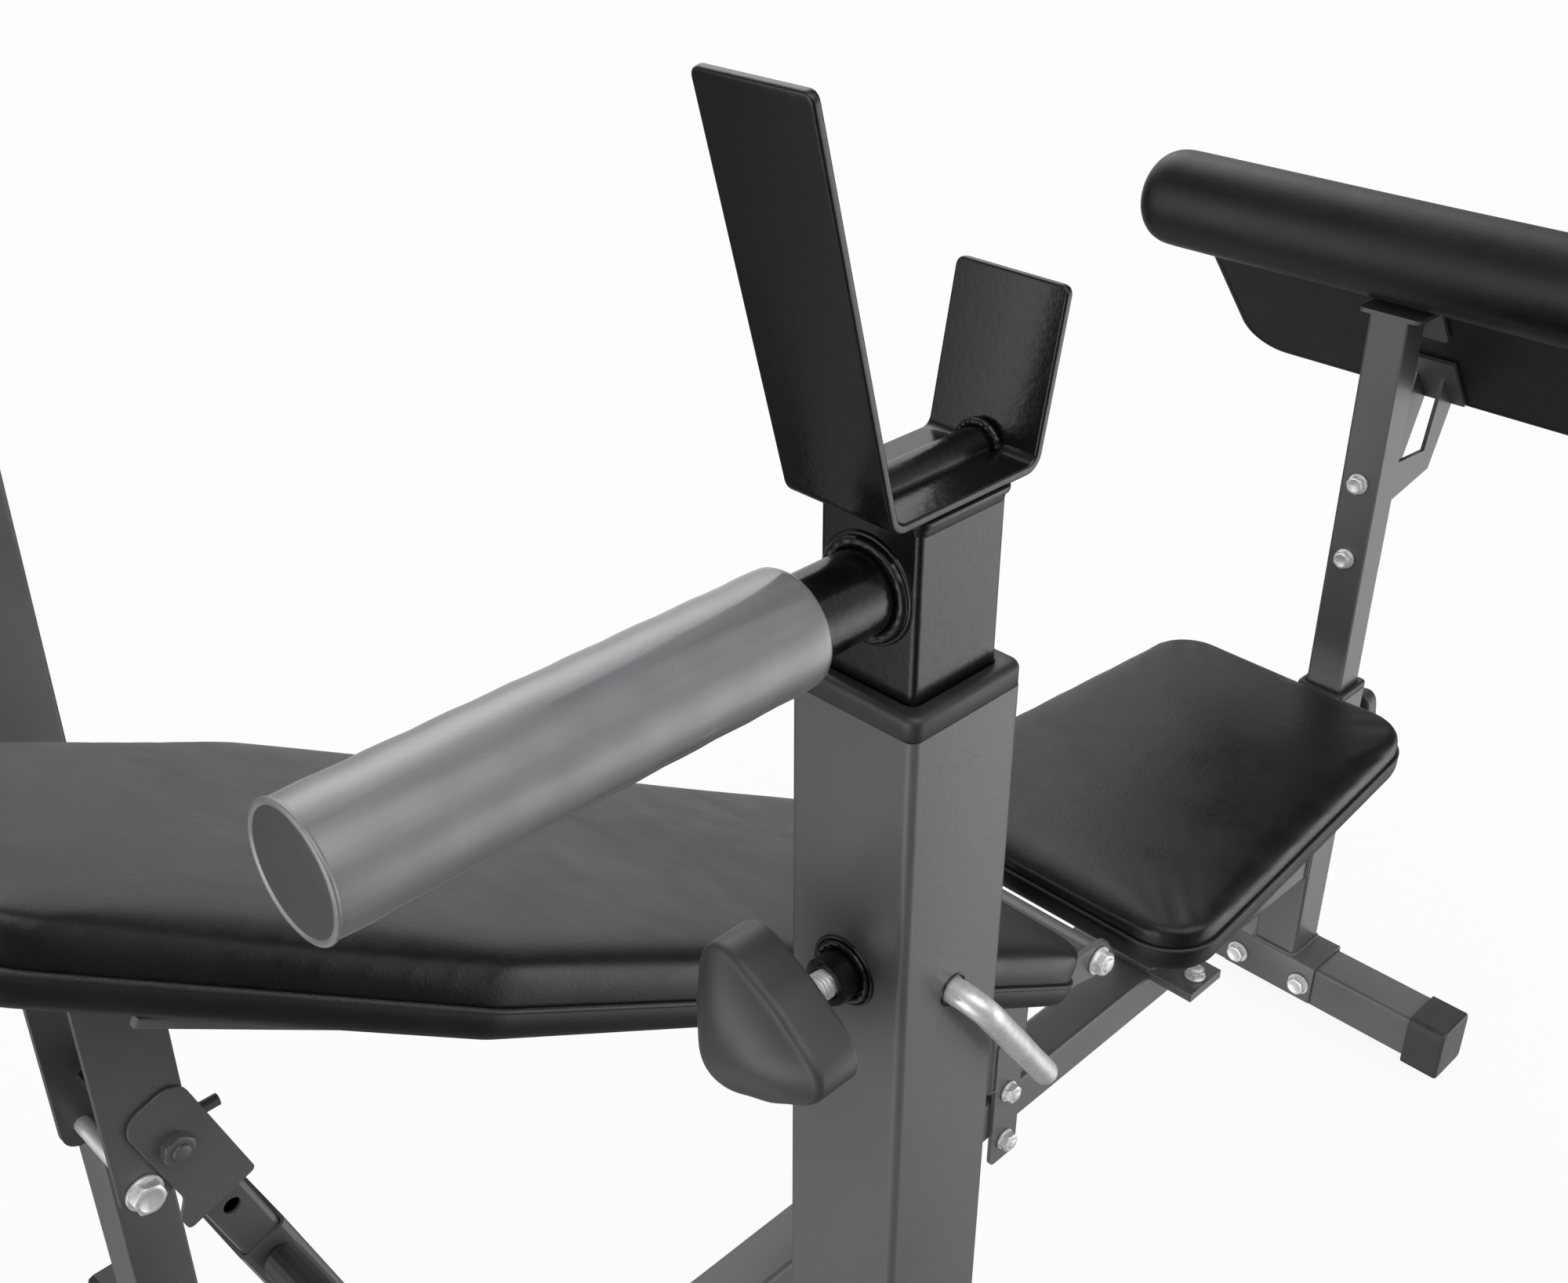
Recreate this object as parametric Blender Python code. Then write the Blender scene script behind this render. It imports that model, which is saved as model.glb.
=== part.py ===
# Incline weight bench with bar racks, dip grips and a preacher pad, in metres.
# The origin is on the floor under the middle of the bench. +Y runs towards the racks,
# -X is the bench's left side.
import bpy
import bmesh
from math import atan2, cos, pi, radians, sin, sqrt, tan
from mathutils import Matrix, Vector

# Clearance between pieces that touch
GAP = 0.0003

# Base
CROSSBAR_DISTANCE = 1.140
REAR_Y = 0.5493
BASE_TUBE = 0.050
BASE_WALL = 0.0025
TUBE_CORNER = 0.004
PAD_UNDER_TUBE = 0.008
FRONT_HALF_LENGTH = 0.205
CAP_LENGTH = 0.040
CAP_WALL = 0.003
RAIL_TUBE = 0.045
RAIL_TOP = 0.212
BRACKET_PLATE = 0.003
BRACKET_HALF_LENGTH = 0.053
BRACKET_LOW = 0.012
BRACKET_TO_CAP = 0.004
FOOT_BOLT_X = 0.0385
SLEEVE_TOP = 0.3877

# Plastic collars in the ends of the outer tubes
COLLAR_HEIGHT = 0.0083
COLLAR_SKIRT = 0.040
COLLAR_EDGE = 0.0025

# Uprights and racks. Sunk is measured down from the upright's top.
UPRIGHT_SPACING = 0.806
UPRIGHT_TOP = 1.062
INNER_TUBE = 0.038
INNER_WALL = 0.002
INNER_CORNER = 0.003
RACK_SUNK = 0.462
RACK_PITCH = 0.050
RACK_STEPS = 6
SADDLE_RISE = 0.070
SADDLE_PLATE = 0.003
SADDLE_HALF_WIDTH = 0.0203
SADDLE_FOLD = 0.0301
SADDLE_BEND = 0.005
SADDLE_CORNER = 0.005
TALL_FLANGE_HEIGHT = 0.1196
TALL_FLANGE_LEAN = radians(15.1)
SHORT_FLANGE_HEIGHT = 0.050
SHORT_FLANGE_LEAN = radians(10.7)
SADDLE_ROD_RADIUS = 0.008
SADDLE_ROD_SUNK = 0.0005
SADDLE_BEAD = 0.0021
STUB_DROP = 0.030
STUB_RADIUS = 0.013
STUB_WALL = 0.002
STUB_LENGTH = 0.180
STUB_WELD_RADIUS = 0.0165
GRIP_START = 0.051
GRIP_LENGTH = 0.156
GRIP_RADIUS = 0.018
GRIP_BEAD = 0.001

# Clamp screws and their three-lobed knobs
CLAMP_SUNK = 0.098
PREACHER_CLAMP_SUNK = 0.0577
SCREW_RADIUS = 0.005
SCREW_LENGTH = 0.044
BUSH_RADIUS = 0.0085
BUSH_LENGTH = 0.013
BUSH_WELD_RADIUS = 0.012
KNOB_START = 0.051
KNOB_RADIUS = 0.0236
KNOB_LOBE = 0.0073
KNOB_RIPPLE = 0.0012
KNOB_RIM = 0.019
KNOB_DOME = 0.010
KNOB_EDGE = 0.003
KNOB_BORE = 0.013
KNOB_TURN = radians(57)
KNOB_POINTS = 30

# Locking pins of the racks
PIN_SUNK = 0.106
PIN_RADIUS = 0.0047
PIN_OUT = 0.037
PIN_BEND = 0.009
PIN_LEG = (0.042, 0.058)

# Preacher stand. Its rise and sunk length are measured from the sleeve's top.
PREACHER_SUNK = 0.2677
PREACHER_RISE = 0.4033
HEAD_PLATE = 0.004
HEAD_HALF_WIDTH = 0.030
HEAD_FLANGE = 0.045
BOARD_STANDOFF = 0.007
BOARD_SLOPE = radians(52.3)
BOARD_THICKNESS = 0.012
BOARD_INSET = 0.002
PREACHER_BOARD_LENGTH = 0.160
PREACHER_TOP_HALF_WIDTH = 0.223
PREACHER_LOW_HALF_WIDTH = 0.215
PREACHER_CORNER = 0.045
PREACHER_PAD_THICKNESS = 0.0425
ROLL_RADIUS = 0.050
ROLL_HALF_LENGTH = 0.280
ROLL_OFFSET = 0.0156
ROLL_EDGE = 0.030
ARM_BOLT_DROP = 0.1686
ARM_BOLT_SPACING = 0.0798
ARM_PLATE = 0.004
ARM_REACH = 0.150
ARM_HALF_WIDTH = 0.016
ARM_HEIGHT = 0.040

# Seat
SEAT_REAR = 0.630
SEAT_LENGTH = 0.425
SEAT_OVER_HINGE = 0.032
SEAT_THICKNESS = 0.048
SEAT_REAR_HALF_WIDTH = 0.1648
SEAT_FRONT_HALF_WIDTH = 0.1321
SEAT_CORNER = 0.047
SEAT_POST_SETBACK = 0.846
FOOT_PLATE_HALF_LENGTH = 0.069
FOOT_PLATE_HALF_WIDTH = 0.025
FOOT_PLATE = 0.004
TAB_PLATE = 0.005
SEAT_BOLT_X = 0.056
CARRIER_HALF_WIDTH = 0.055
CARRIER_HALF_LENGTH = 0.100
GUSSET_REACH = 0.085
GUSSET_DEPTH = 0.051

# Backrest hinge and backrest. Along is measured up the slope from the hinge,
# and drop at right angles to it.
HINGE_SETBACK = 0.600
HINGE_HEIGHT = 0.412
HINGE_TUBE_RADIUS = 0.012
HINGE_BOLT_RADIUS = 0.006
CLAMP_LOW = 0.137
CLAMP_HALF_WIDTH = 0.0175
CLAMP_PLATE = 0.004
CLAMP_CORNER = 0.006
CLAMP_BOLT_OFFSET = 0.0065
POST_LIFT = 0.016
INCLINE = radians(30.4)
PAD_START = 0.077
PAD_BEND = 0.680
PAD_END = 0.934
PAD_HALF_WIDTH = 0.1445
PAD_HEAD_HALF_WIDTH = 0.0918
PAD_CORNER = 0.045
PAD_BEND_RADIUS = 0.060
PAD_HEAD_CORNER = 0.0405
PAD_TOP = 0.0282
BACKREST_THICKNESS = 0.047
CUSHION_CROWN = 0.004
EDGE_ROLL = 0.015
ARM_SPACING = 0.200
ARM_BAR = 0.005
ARM_BAR_HEIGHT = 0.035
ARM_EYE = 0.017
ARM_END = 0.848
CROSS_TUBE = 0.025
CROSS_WALL = 0.002
LOWER_CROSS = 0.160

# Telescoping prop under the backrest
PROP_ALONG = 0.7536
PROP_DROP = 0.1282
PROP_LEAN = radians(19.75)
PROP_WIDTH = 0.060
PROP_DEPTH = 0.025
PROP_WALL = 0.002
SLEEVE_WALL = 0.0022
PROP_TUBE_START = 0.020
PROP_TUBE_END = 0.380
PROP_SLEEVE_START = 0.108
PROP_EYE = 0.012
PROP_PIN_ALONG = 0.122
PROP_PITCH = 0.05105
PROP_HOLES = (-1, 0, 1, 2, 3)
PROP_CAP_RADIUS = 0.0115
PROP_CAP_START = 0.005
PROP_CAP_LENGTH = 0.046
PEG_ALONG = 0.026
PEG_RADIUS = 0.0035
PEG_REACH = 0.026
LUG_HEIGHT = 0.031
LUG_PLATE = 0.004
LUG_HALF_LENGTH = 0.027
LUG_SLOT = (-0.0095, 0.0142)
LUG_SLOT_RADIUS = 0.0086
HANGER_PLATE = 0.004
HANGER_FRONT = 0.017
HANGER_BACK = 0.034
HANGER_BELOW = 0.036
HANGER_CORNER = 0.012
STOP_BOLT = (0.0195, 0.0195)

# Bolts: shank radius, hexagon across flats, head height, washer radius
SMALL_BOLT = (0.0049, 0.016, 0.0062, 0.0100)
LARGE_BOLT = (0.0058, 0.018, 0.0072, 0.0122)
WASHER = 0.0020

# Sizes that follow from the ones above
FRONT_Y = REAR_Y - CROSSBAR_DISTANCE
REAR_HALF_LENGTH = UPRIGHT_SPACING / 2 + BRACKET_HALF_LENGTH + BRACKET_TO_CAP + CAP_LENGTH
TUBE_TOP = PAD_UNDER_TUBE + BASE_TUBE
TUBE_MIDDLE = PAD_UNDER_TUBE + BASE_TUBE / 2
WEB_TOP = TUBE_TOP + GAP + BRACKET_PLATE
BRACKET_HALF_DEPTH = BASE_TUBE / 2 + GAP + BRACKET_PLATE
HINGE_Y = REAR_Y - HINGE_SETBACK
SEAT_REAR_Y = REAR_Y - SEAT_REAR
SEAT_POST_Y = REAR_Y - SEAT_POST_SETBACK
BORE_SIZE = BASE_TUBE - 2 * BASE_WALL
RACK_LOW = UPRIGHT_TOP - RACK_SUNK
CLAMP_HEIGHT = UPRIGHT_TOP - CLAMP_SUNK
PIN_HEIGHT = UPRIGHT_TOP - PIN_SUNK
SADDLE_FLOOR = UPRIGHT_TOP + SADDLE_RISE
TALL_FLANGE_TOP = SADDLE_FLOOR + TALL_FLANGE_HEIGHT
SHORT_FLANGE_TOP = SADDLE_FLOOR + SHORT_FLANGE_HEIGHT
STUB_HEIGHT = SADDLE_FLOOR - STUB_DROP
PREACHER_LOW = SLEEVE_TOP - PREACHER_SUNK
PREACHER_TOP = SLEEVE_TOP + PREACHER_RISE
PREACHER_CLAMP_HEIGHT = SLEEVE_TOP - PREACHER_CLAMP_SUNK
ARM_BOLT_HIGH = PREACHER_TOP - ARM_BOLT_DROP
ARM_BOLT_LOW = ARM_BOLT_HIGH - ARM_BOLT_SPACING
SEAT_TOP = HINGE_HEIGHT + SEAT_OVER_HINGE
LEFT = -1
RIGHT = 1
SIDES = (("left", LEFT), ("right", RIGHT))

X_AXIS = Vector((1, 0, 0))
Y_AXIS = Vector((0, 1, 0))
Z_AXIS = Vector((0, 0, 1))


def surface(name, colour, metallic, roughness):
    material = bpy.data.materials.new(name)
    material.use_nodes = True
    shader = material.node_tree.nodes["Principled BSDF"]
    shader.inputs["Base Color"].default_value = (*colour, 1)
    shader.inputs["Metallic"].default_value = metallic
    shader.inputs["Roughness"].default_value = roughness
    material.diffuse_color = (*colour, 1)
    return material


# Outlines: lists of 2-D points

def circle(radius, count=20, centre=(0, 0)):
    angles = [2 * pi * index / count for index in range(count)]
    return [(centre[0] + radius * cos(a), centre[1] + radius * sin(a)) for a in angles]


def hexagon(across_flats):
    corner = across_flats / sqrt(3)
    radii = (corner, across_flats / 2)
    return [(radii[i % 2] * cos(pi * i / 6), radii[i % 2] * sin(pi * i / 6)) for i in range(12)]


def rounded_polygon(corners, radii, steps=4):
    """Polygon whose corner i is rounded with radius radii[i]."""
    points = []
    count = len(corners)
    for index, corner in enumerate(corners):
        here = Vector(corner)
        before = (Vector(corners[index - 1]) - here).normalized()
        after = (Vector(corners[(index + 1) % count]) - here).normalized()
        radius = radii[index]
        if radius == 0:
            points.append(tuple(here))
            continue
        half = before.angle(after) / 2
        middle = here + (before + after).normalized() * (radius / sin(half))
        start = here + before * (radius / tan(half)) - middle
        end = here + after * (radius / tan(half)) - middle
        first = atan2(start.y, start.x)
        sweep = (atan2(end.y, end.x) - first + pi) % (2 * pi) - pi
        for step in range(steps + 1):
            angle = first + sweep * step / steps
            points.append((middle.x + radius * cos(angle), middle.y + radius * sin(angle)))
    return points


def rectangle(width, height, radius=0.0, centre=(0, 0), steps=2):
    x, y = width / 2, height / 2
    signs = ((1, 1), (-1, 1), (-1, -1), (1, -1))
    corners = [(centre[0] + a * x, centre[1] + b * y) for a, b in signs]
    return rounded_polygon(corners, [radius] * 4, steps)


def inset(outline, distance):
    """Move each point of a closed outline inwards, along its corner's bisector."""
    moved = []
    count = len(outline)
    for index in range(count):
        here = Vector(outline[index])
        before = (here - Vector(outline[index - 1])).normalized()
        after = (Vector(outline[(index + 1) % count]) - here).normalized()
        inward = Vector((-before.y - after.y, before.x + after.x)).normalized()
        moved.append(tuple(here + inward * distance / max(inward.dot((-before.y, before.x)), 0.5)))
    return moved


def scaled(outline, factor):
    middle = sum((Vector(point) for point in outline), Vector((0, 0))) / len(outline)
    return [tuple(middle + (Vector(point) - middle) * factor) for point in outline]


def rounded_path(points, radius, steps=4):
    """Open 3-D path whose inner corners are arcs of the given radius."""
    path = [Vector(points[0])]
    for before, here, after in zip(points, points[1:], points[2:]):
        here = Vector(here)
        back = (Vector(before) - here).normalized()
        ahead = (Vector(after) - here).normalized()
        half = back.angle(ahead) / 2
        middle = here + (back + ahead).normalized() * (radius / sin(half))
        start = here + back * (radius / tan(half)) - middle
        end = here + ahead * (radius / tan(half)) - middle
        sweep, axis = start.angle(end), start.cross(end)
        for step in range(steps + 1):
            path.append(middle + Matrix.Rotation(sweep * step / steps, 3, axis) @ start)
    path.append(Vector(points[-1]))
    return path


# Solids: bmesh meshes lofted through rings of points

def loft(rings, wrap=False):
    """Skin equal rings. Wrap joins the last ring to the first, as in a tube."""
    mesh = bmesh.new()
    rows = [[mesh.verts.new(point) for point in ring] for ring in rings]
    pairs = list(zip(rows, rows[1:]))
    if wrap:
        pairs.append((rows[-1], rows[0]))
    for lower, upper in pairs:
        for index in range(len(lower)):
            follow = (index + 1) % len(lower)
            mesh.faces.new((lower[index], lower[follow], upper[follow], upper[index]))
    if not wrap:
        mesh.faces.new(list(reversed(rows[0])))
        mesh.faces.new(rows[-1])
    bmesh.ops.recalc_face_normals(mesh, faces=mesh.faces)
    return mesh


def at_height(outline, height):
    return [(x, y, height) for x, y in outline]


def stack(layers, wrap=False):
    """Loft a list of (outline, height) layers along local Z."""
    return loft([at_height(outline, height) for outline, height in layers], wrap)


def frame(origin, forward, side):
    """Matrix that carries local Z to forward and local X to side."""
    forward = Vector(forward).normalized()
    side = Vector(side).normalized()
    cross = forward.cross(side)
    rows = [(side[i], cross[i], forward[i], origin[i]) for i in range(3)]
    return Matrix((*rows, (0, 0, 0, 1)))


def placed(mesh, matrix):
    bmesh.ops.transform(mesh, matrix=matrix, verts=mesh.verts)
    if matrix.determinant() < 0:
        bmesh.ops.reverse_faces(mesh, faces=mesh.faces)
    return mesh


def moved(mesh, offset):
    return placed(mesh, Matrix.Translation(offset))


def block(low, high):
    outline = [(low[0], low[1]), (high[0], low[1]), (high[0], high[1]), (low[0], high[1])]
    return stack([(outline, low[2]), (outline, high[2])])


def prism(outline, low, high, matrix):
    return placed(stack([(outline, low), (outline, high)]), matrix)


def side_view(x=0):
    """Matrix whose local X and Y are the bench's Y and Z, and whose local Z is its X."""
    return frame((x, 0, 0), X_AXIS, Y_AXIS)


def rod(radius, start, end, count=16):
    start, end = Vector(start), Vector(end)
    along = end - start
    side = Z_AXIS if abs(along.normalized().z) < 0.9 else X_AXIS
    side = (side - side.project(along)).normalized()
    return prism(circle(radius, count), 0, along.length, frame(start, along, side))


def drill(radius, start, end):
    """Cutter that clears a rod of the given radius by the fitting gap."""
    count = 12
    return rod((radius + GAP) / cos(pi / count), start, end, count)


def square_tube(width, depth, wall, length, corner=TUBE_CORNER):
    outer = rectangle(width, depth, corner)
    inner = rectangle(width - 2 * wall, depth - 2 * wall, max(corner - wall, wall / 2))
    return stack([(outer, 0), (outer, length), (inner, length), (inner, 0)], wrap=True)


def swept_rod(path, radius, count=14, nose_steps=3):
    """Round rod along a flat path, with a rounded nose at its far end."""
    tangents = []
    for index in range(len(path)):
        ahead = path[min(index + 1, len(path) - 1)]
        behind = path[max(index - 1, 0)]
        tangents.append((ahead - behind).normalized())
    across = tangents[0].cross(tangents[-1]).normalized()
    stations = [(point, tangent, radius) for point, tangent in zip(path, tangents)]
    for step in range(1, nose_steps + 1):
        angle = pi / 2 * step / (nose_steps + 1)
        nose = path[-1] + tangents[-1] * radius * sin(angle)
        stations.append((nose, tangents[-1], radius * cos(angle)))
    rings = []
    for point, tangent, size in stations:
        up = tangent.cross(across)
        rings.append([point + across * x + up * y for x, y in circle(size, count)])
    return loft(rings)


def bent_strip(path, thickness, half_width, corner, steps=4):
    """Flat strip along a path in the YZ plane, with rounded ends."""
    ends = [corner * (1 - cos(pi / 2 * step / steps)) for step in range(steps + 1)]
    first = [path[0] + (path[1] - path[0]).normalized() * distance for distance in ends]
    last = [path[-1] + (path[-2] - path[-1]).normalized() * distance for distance in reversed(ends)]
    stations = first + path[1:-1] + last
    narrowing = [corner * (1 - sin(pi / 2 * step / steps)) for step in range(steps + 1)]
    widths = [half_width - n for n in narrowing]
    widths += [half_width] * (len(path) - 2)
    widths += [half_width - n for n in reversed(narrowing)]
    rings = []
    for index, (point, width) in enumerate(zip(stations, widths)):
        ahead = stations[min(index + 1, len(stations) - 1)]
        behind = stations[max(index - 1, 0)]
        normal = X_AXIS.cross((ahead - behind).normalized()) * thickness / 2
        corners = ((1, 1), (-1, 1), (-1, -1), (1, -1))
        rings.append([point + X_AXIS * (a * width) + normal * b for a, b in corners])
    return loft(rings)


def bolt(sizes, start, end):
    """Hexagon bolt and nut that clamp what lies between start and end."""
    radius, flats, head, washer_radius = sizes
    start, end = Vector(start), Vector(end)
    grip = (end - start).length
    hexed, shank, washer = hexagon(flats), circle(radius, 12), circle(washer_radius, 12)
    layers = [
        (hexed, -WASHER - head), (hexed, -WASHER), (washer, -WASHER), (washer, 0), (shank, 0),
        (shank, grip), (washer, grip), (washer, grip + WASHER), (hexed, grip + WASHER),
        (hexed, grip + WASHER + head),
    ]
    along = end - start
    side = Z_AXIS if abs(along.normalized().z) < 0.9 else X_AXIS
    return placed(stack(layers), frame(start, along, side))


def cushion(outline, thickness, crown):
    """Upholstered pad: drawn-in lower edge, welt line, rolled edge and crown."""
    profile = ((0.27, 0), (0.08, 0.06), (0, 0.22), (0.12, 0.36),
               (0.01, 0.50), (0.11, 0.70), (0.43, 0.88), (1, 1))
    layers = [(inset(outline, EDGE_ROLL * inward), thickness * rise) for inward, rise in profile]
    rim = layers[-1][0]
    for factor in (0.80, 0.55, 0.28):
        layers.append((scaled(rim, factor), thickness + crown * cos(pi / 2 * factor)))
    return stack(layers)


def gathered(meshes):
    """One bmesh that holds all the given ones."""
    whole = bmesh.new()
    for mesh in meshes:
        copies = [whole.verts.new(vert.co) for vert in mesh.verts]
        mesh.verts.index_update()
        for face in mesh.faces:
            whole.faces.new([copies[vert.index] for vert in face.verts])
        mesh.free()
    return whole


# Objects

def make_object(name, mesh):
    data = bpy.data.meshes.new(name)
    mesh.to_mesh(data)
    mesh.free()
    made = bpy.data.objects.new(name, data)
    bpy.context.collection.objects.link(made)
    return made


def combine(target, meshes, operation):
    """Apply one exact Boolean with all the meshes, which are then removed."""
    tool = make_object("tool", gathered(meshes))
    modifier = target.modifiers.new(operation, "BOOLEAN")
    modifier.operation = operation
    modifier.solver = "EXACT"
    modifier.use_self = len(meshes) > 1
    modifier.object = tool
    evaluated = target.evaluated_get(bpy.context.evaluated_depsgraph_get())
    result = bpy.data.meshes.new_from_object(evaluated)
    target.modifiers.clear()
    used = [target.data, tool.data]
    target.data = result
    bpy.data.objects.remove(tool)
    for data in used:
        bpy.data.meshes.remove(data)


def piece(name, mesh, material, carrier=None, joins=(), cuts=()):
    """One named part in world coordinates, its origin moved to its carrier's."""
    made = make_object(name, mesh)
    if joins:
        combine(made, joins, "UNION")
    if cuts:
        combine(made, cuts, "DIFFERENCE")
    made.data.name = name
    made.data.materials.clear()
    made.data.materials.append(material)
    if carrier:
        made.data.transform(Matrix.Translation(-carrier.matrix_world.translation))
        made.parent = carrier
    made.data.shade_smooth()
    made.data.set_sharp_from_angle(angle=radians(35))
    return made


def joint_empty(name, place):
    """Empty on a joint's axis. The pieces that move with the joint hang on it."""
    made = bpy.data.objects.new(name, None)
    made.location = place
    made.empty_display_size = 0.03
    bpy.context.collection.objects.link(made)
    bpy.context.view_layer.update()
    return made


# Base frame

def crossbar(y, half_length):
    length = 2 * (half_length - CAP_WALL - GAP)
    tube = square_tube(BASE_TUBE, BASE_TUBE, BASE_WALL, length)
    place = frame((-length / 2, y, TUBE_MIDDLE), X_AXIS, Y_AXIS)
    return placed(tube, place)


def foot_cap(side, y, half_length):
    """Plastic end cap that carries the crossbar's end on its thick floor pad."""
    cavity_size = BASE_TUBE + 2 * GAP
    outer_size = cavity_size + 2 * CAP_WALL
    outer_top = TUBE_TOP + GAP + CAP_WALL
    cavity = rectangle(cavity_size, cavity_size, TUBE_CORNER, (0, TUBE_MIDDLE))
    outer = rectangle(outer_size, outer_top, TUBE_CORNER + CAP_WALL, (0, outer_top / 2))
    floor = CAP_LENGTH - CAP_WALL
    layers = [(cavity, floor), (cavity, 0), (outer, 0), (outer, floor),
              (inset(outer, CAP_WALL / 4), CAP_LENGTH - CAP_WALL / 3), (inset(outer, CAP_WALL), CAP_LENGTH)]
    start = side * (half_length - CAP_LENGTH)
    return placed(stack(layers), frame((start, y, 0), X_AXIS * side, Y_AXIS * side))


def foot_bracket(x, y):
    """Inverted channel that straddles a crossbar."""
    half, inner = BRACKET_HALF_DEPTH, BRACKET_HALF_DEPTH - BRACKET_PLATE
    under = WEB_TOP - BRACKET_PLATE
    outline = [(y - half, BRACKET_LOW), (y - inner, BRACKET_LOW), (y - inner, under), (y + inner, under),
               (y + inner, BRACKET_LOW), (y + half, BRACKET_LOW), (y + half, WEB_TOP), (y - half, WEB_TOP)]
    return prism(outline, -BRACKET_HALF_LENGTH, BRACKET_HALF_LENGTH, side_view(x))


def foot_bolt_ends(x, y, side):
    reach = BRACKET_HALF_DEPTH + GAP
    place = x + side * FOOT_BOLT_X
    return (place, y + reach, TUBE_MIDDLE), (place, y - reach, TUBE_MIDDLE)


def foot_bolt_holes(x, y):
    margin = Vector((0, 2 * WASHER, 0))
    holes = []
    for _, side in SIDES:
        start, end = foot_bolt_ends(x, y, side)
        holes.append((Vector(start) + margin, Vector(end) - margin))
    return holes


def standing_tube(x, y, top):
    tube = square_tube(BASE_TUBE, BASE_TUBE, BASE_WALL, top - WEB_TOP + BRACKET_PLATE / 2)
    return moved(tube, (x, y, WEB_TOP - BRACKET_PLATE / 2))


def tube_collar(x, y, top):
    """Collar that fills the play between the outer and the sliding tube."""
    inner = rectangle(INNER_TUBE + 2 * GAP, INNER_TUBE + 2 * GAP, INNER_CORNER)
    skirt = rectangle(BORE_SIZE - 2 * GAP, BORE_SIZE - 2 * GAP, BASE_WALL)
    flange = rectangle(BASE_TUBE, BASE_TUBE, TUBE_CORNER)
    shoulder = inset(flange, COLLAR_EDGE * 0.3)
    rim = inset(flange, COLLAR_EDGE)
    layers = [(inner, -COLLAR_SKIRT), (inner, COLLAR_HEIGHT), (rim, COLLAR_HEIGHT),
              (shoulder, COLLAR_HEIGHT - COLLAR_EDGE * 0.3), (flange, COLLAR_HEIGHT - COLLAR_EDGE),
              (flange, GAP), (skirt, GAP), (skirt, -COLLAR_SKIRT)]
    return moved(stack(layers, wrap=True), (x, y, top))


def screw_bush(x, y, height, direction):
    """Welded bush on a tube's face, solid until the screw's hole is cut."""
    bead = BUSH_WELD_RADIUS - BUSH_RADIUS
    steps = [(BUSH_WELD_RADIUS, -BASE_WALL / 4), (BUSH_WELD_RADIUS, bead * 0.5),
             (BUSH_WELD_RADIUS - bead * 0.3, bead * 0.9), (BUSH_RADIUS + bead * 0.3, bead * 1.4),
             (BUSH_RADIUS, bead * 1.8), (BUSH_RADIUS, BUSH_LENGTH)]
    place = frame((x, y + direction * BASE_TUBE / 2, height), Y_AXIS * direction, X_AXIS)
    return placed(stack([(circle(radius), offset) for radius, offset in steps]), place)


def bush_hole(x, y, height, direction):
    inner_face = BASE_TUBE / 2 - 2 * BASE_WALL
    outer_face = BASE_TUBE / 2 + 2 * BUSH_LENGTH
    return drill(SCREW_RADIUS, (x, y + direction * inner_face, height),
                 (x, y + direction * outer_face, height))


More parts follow.
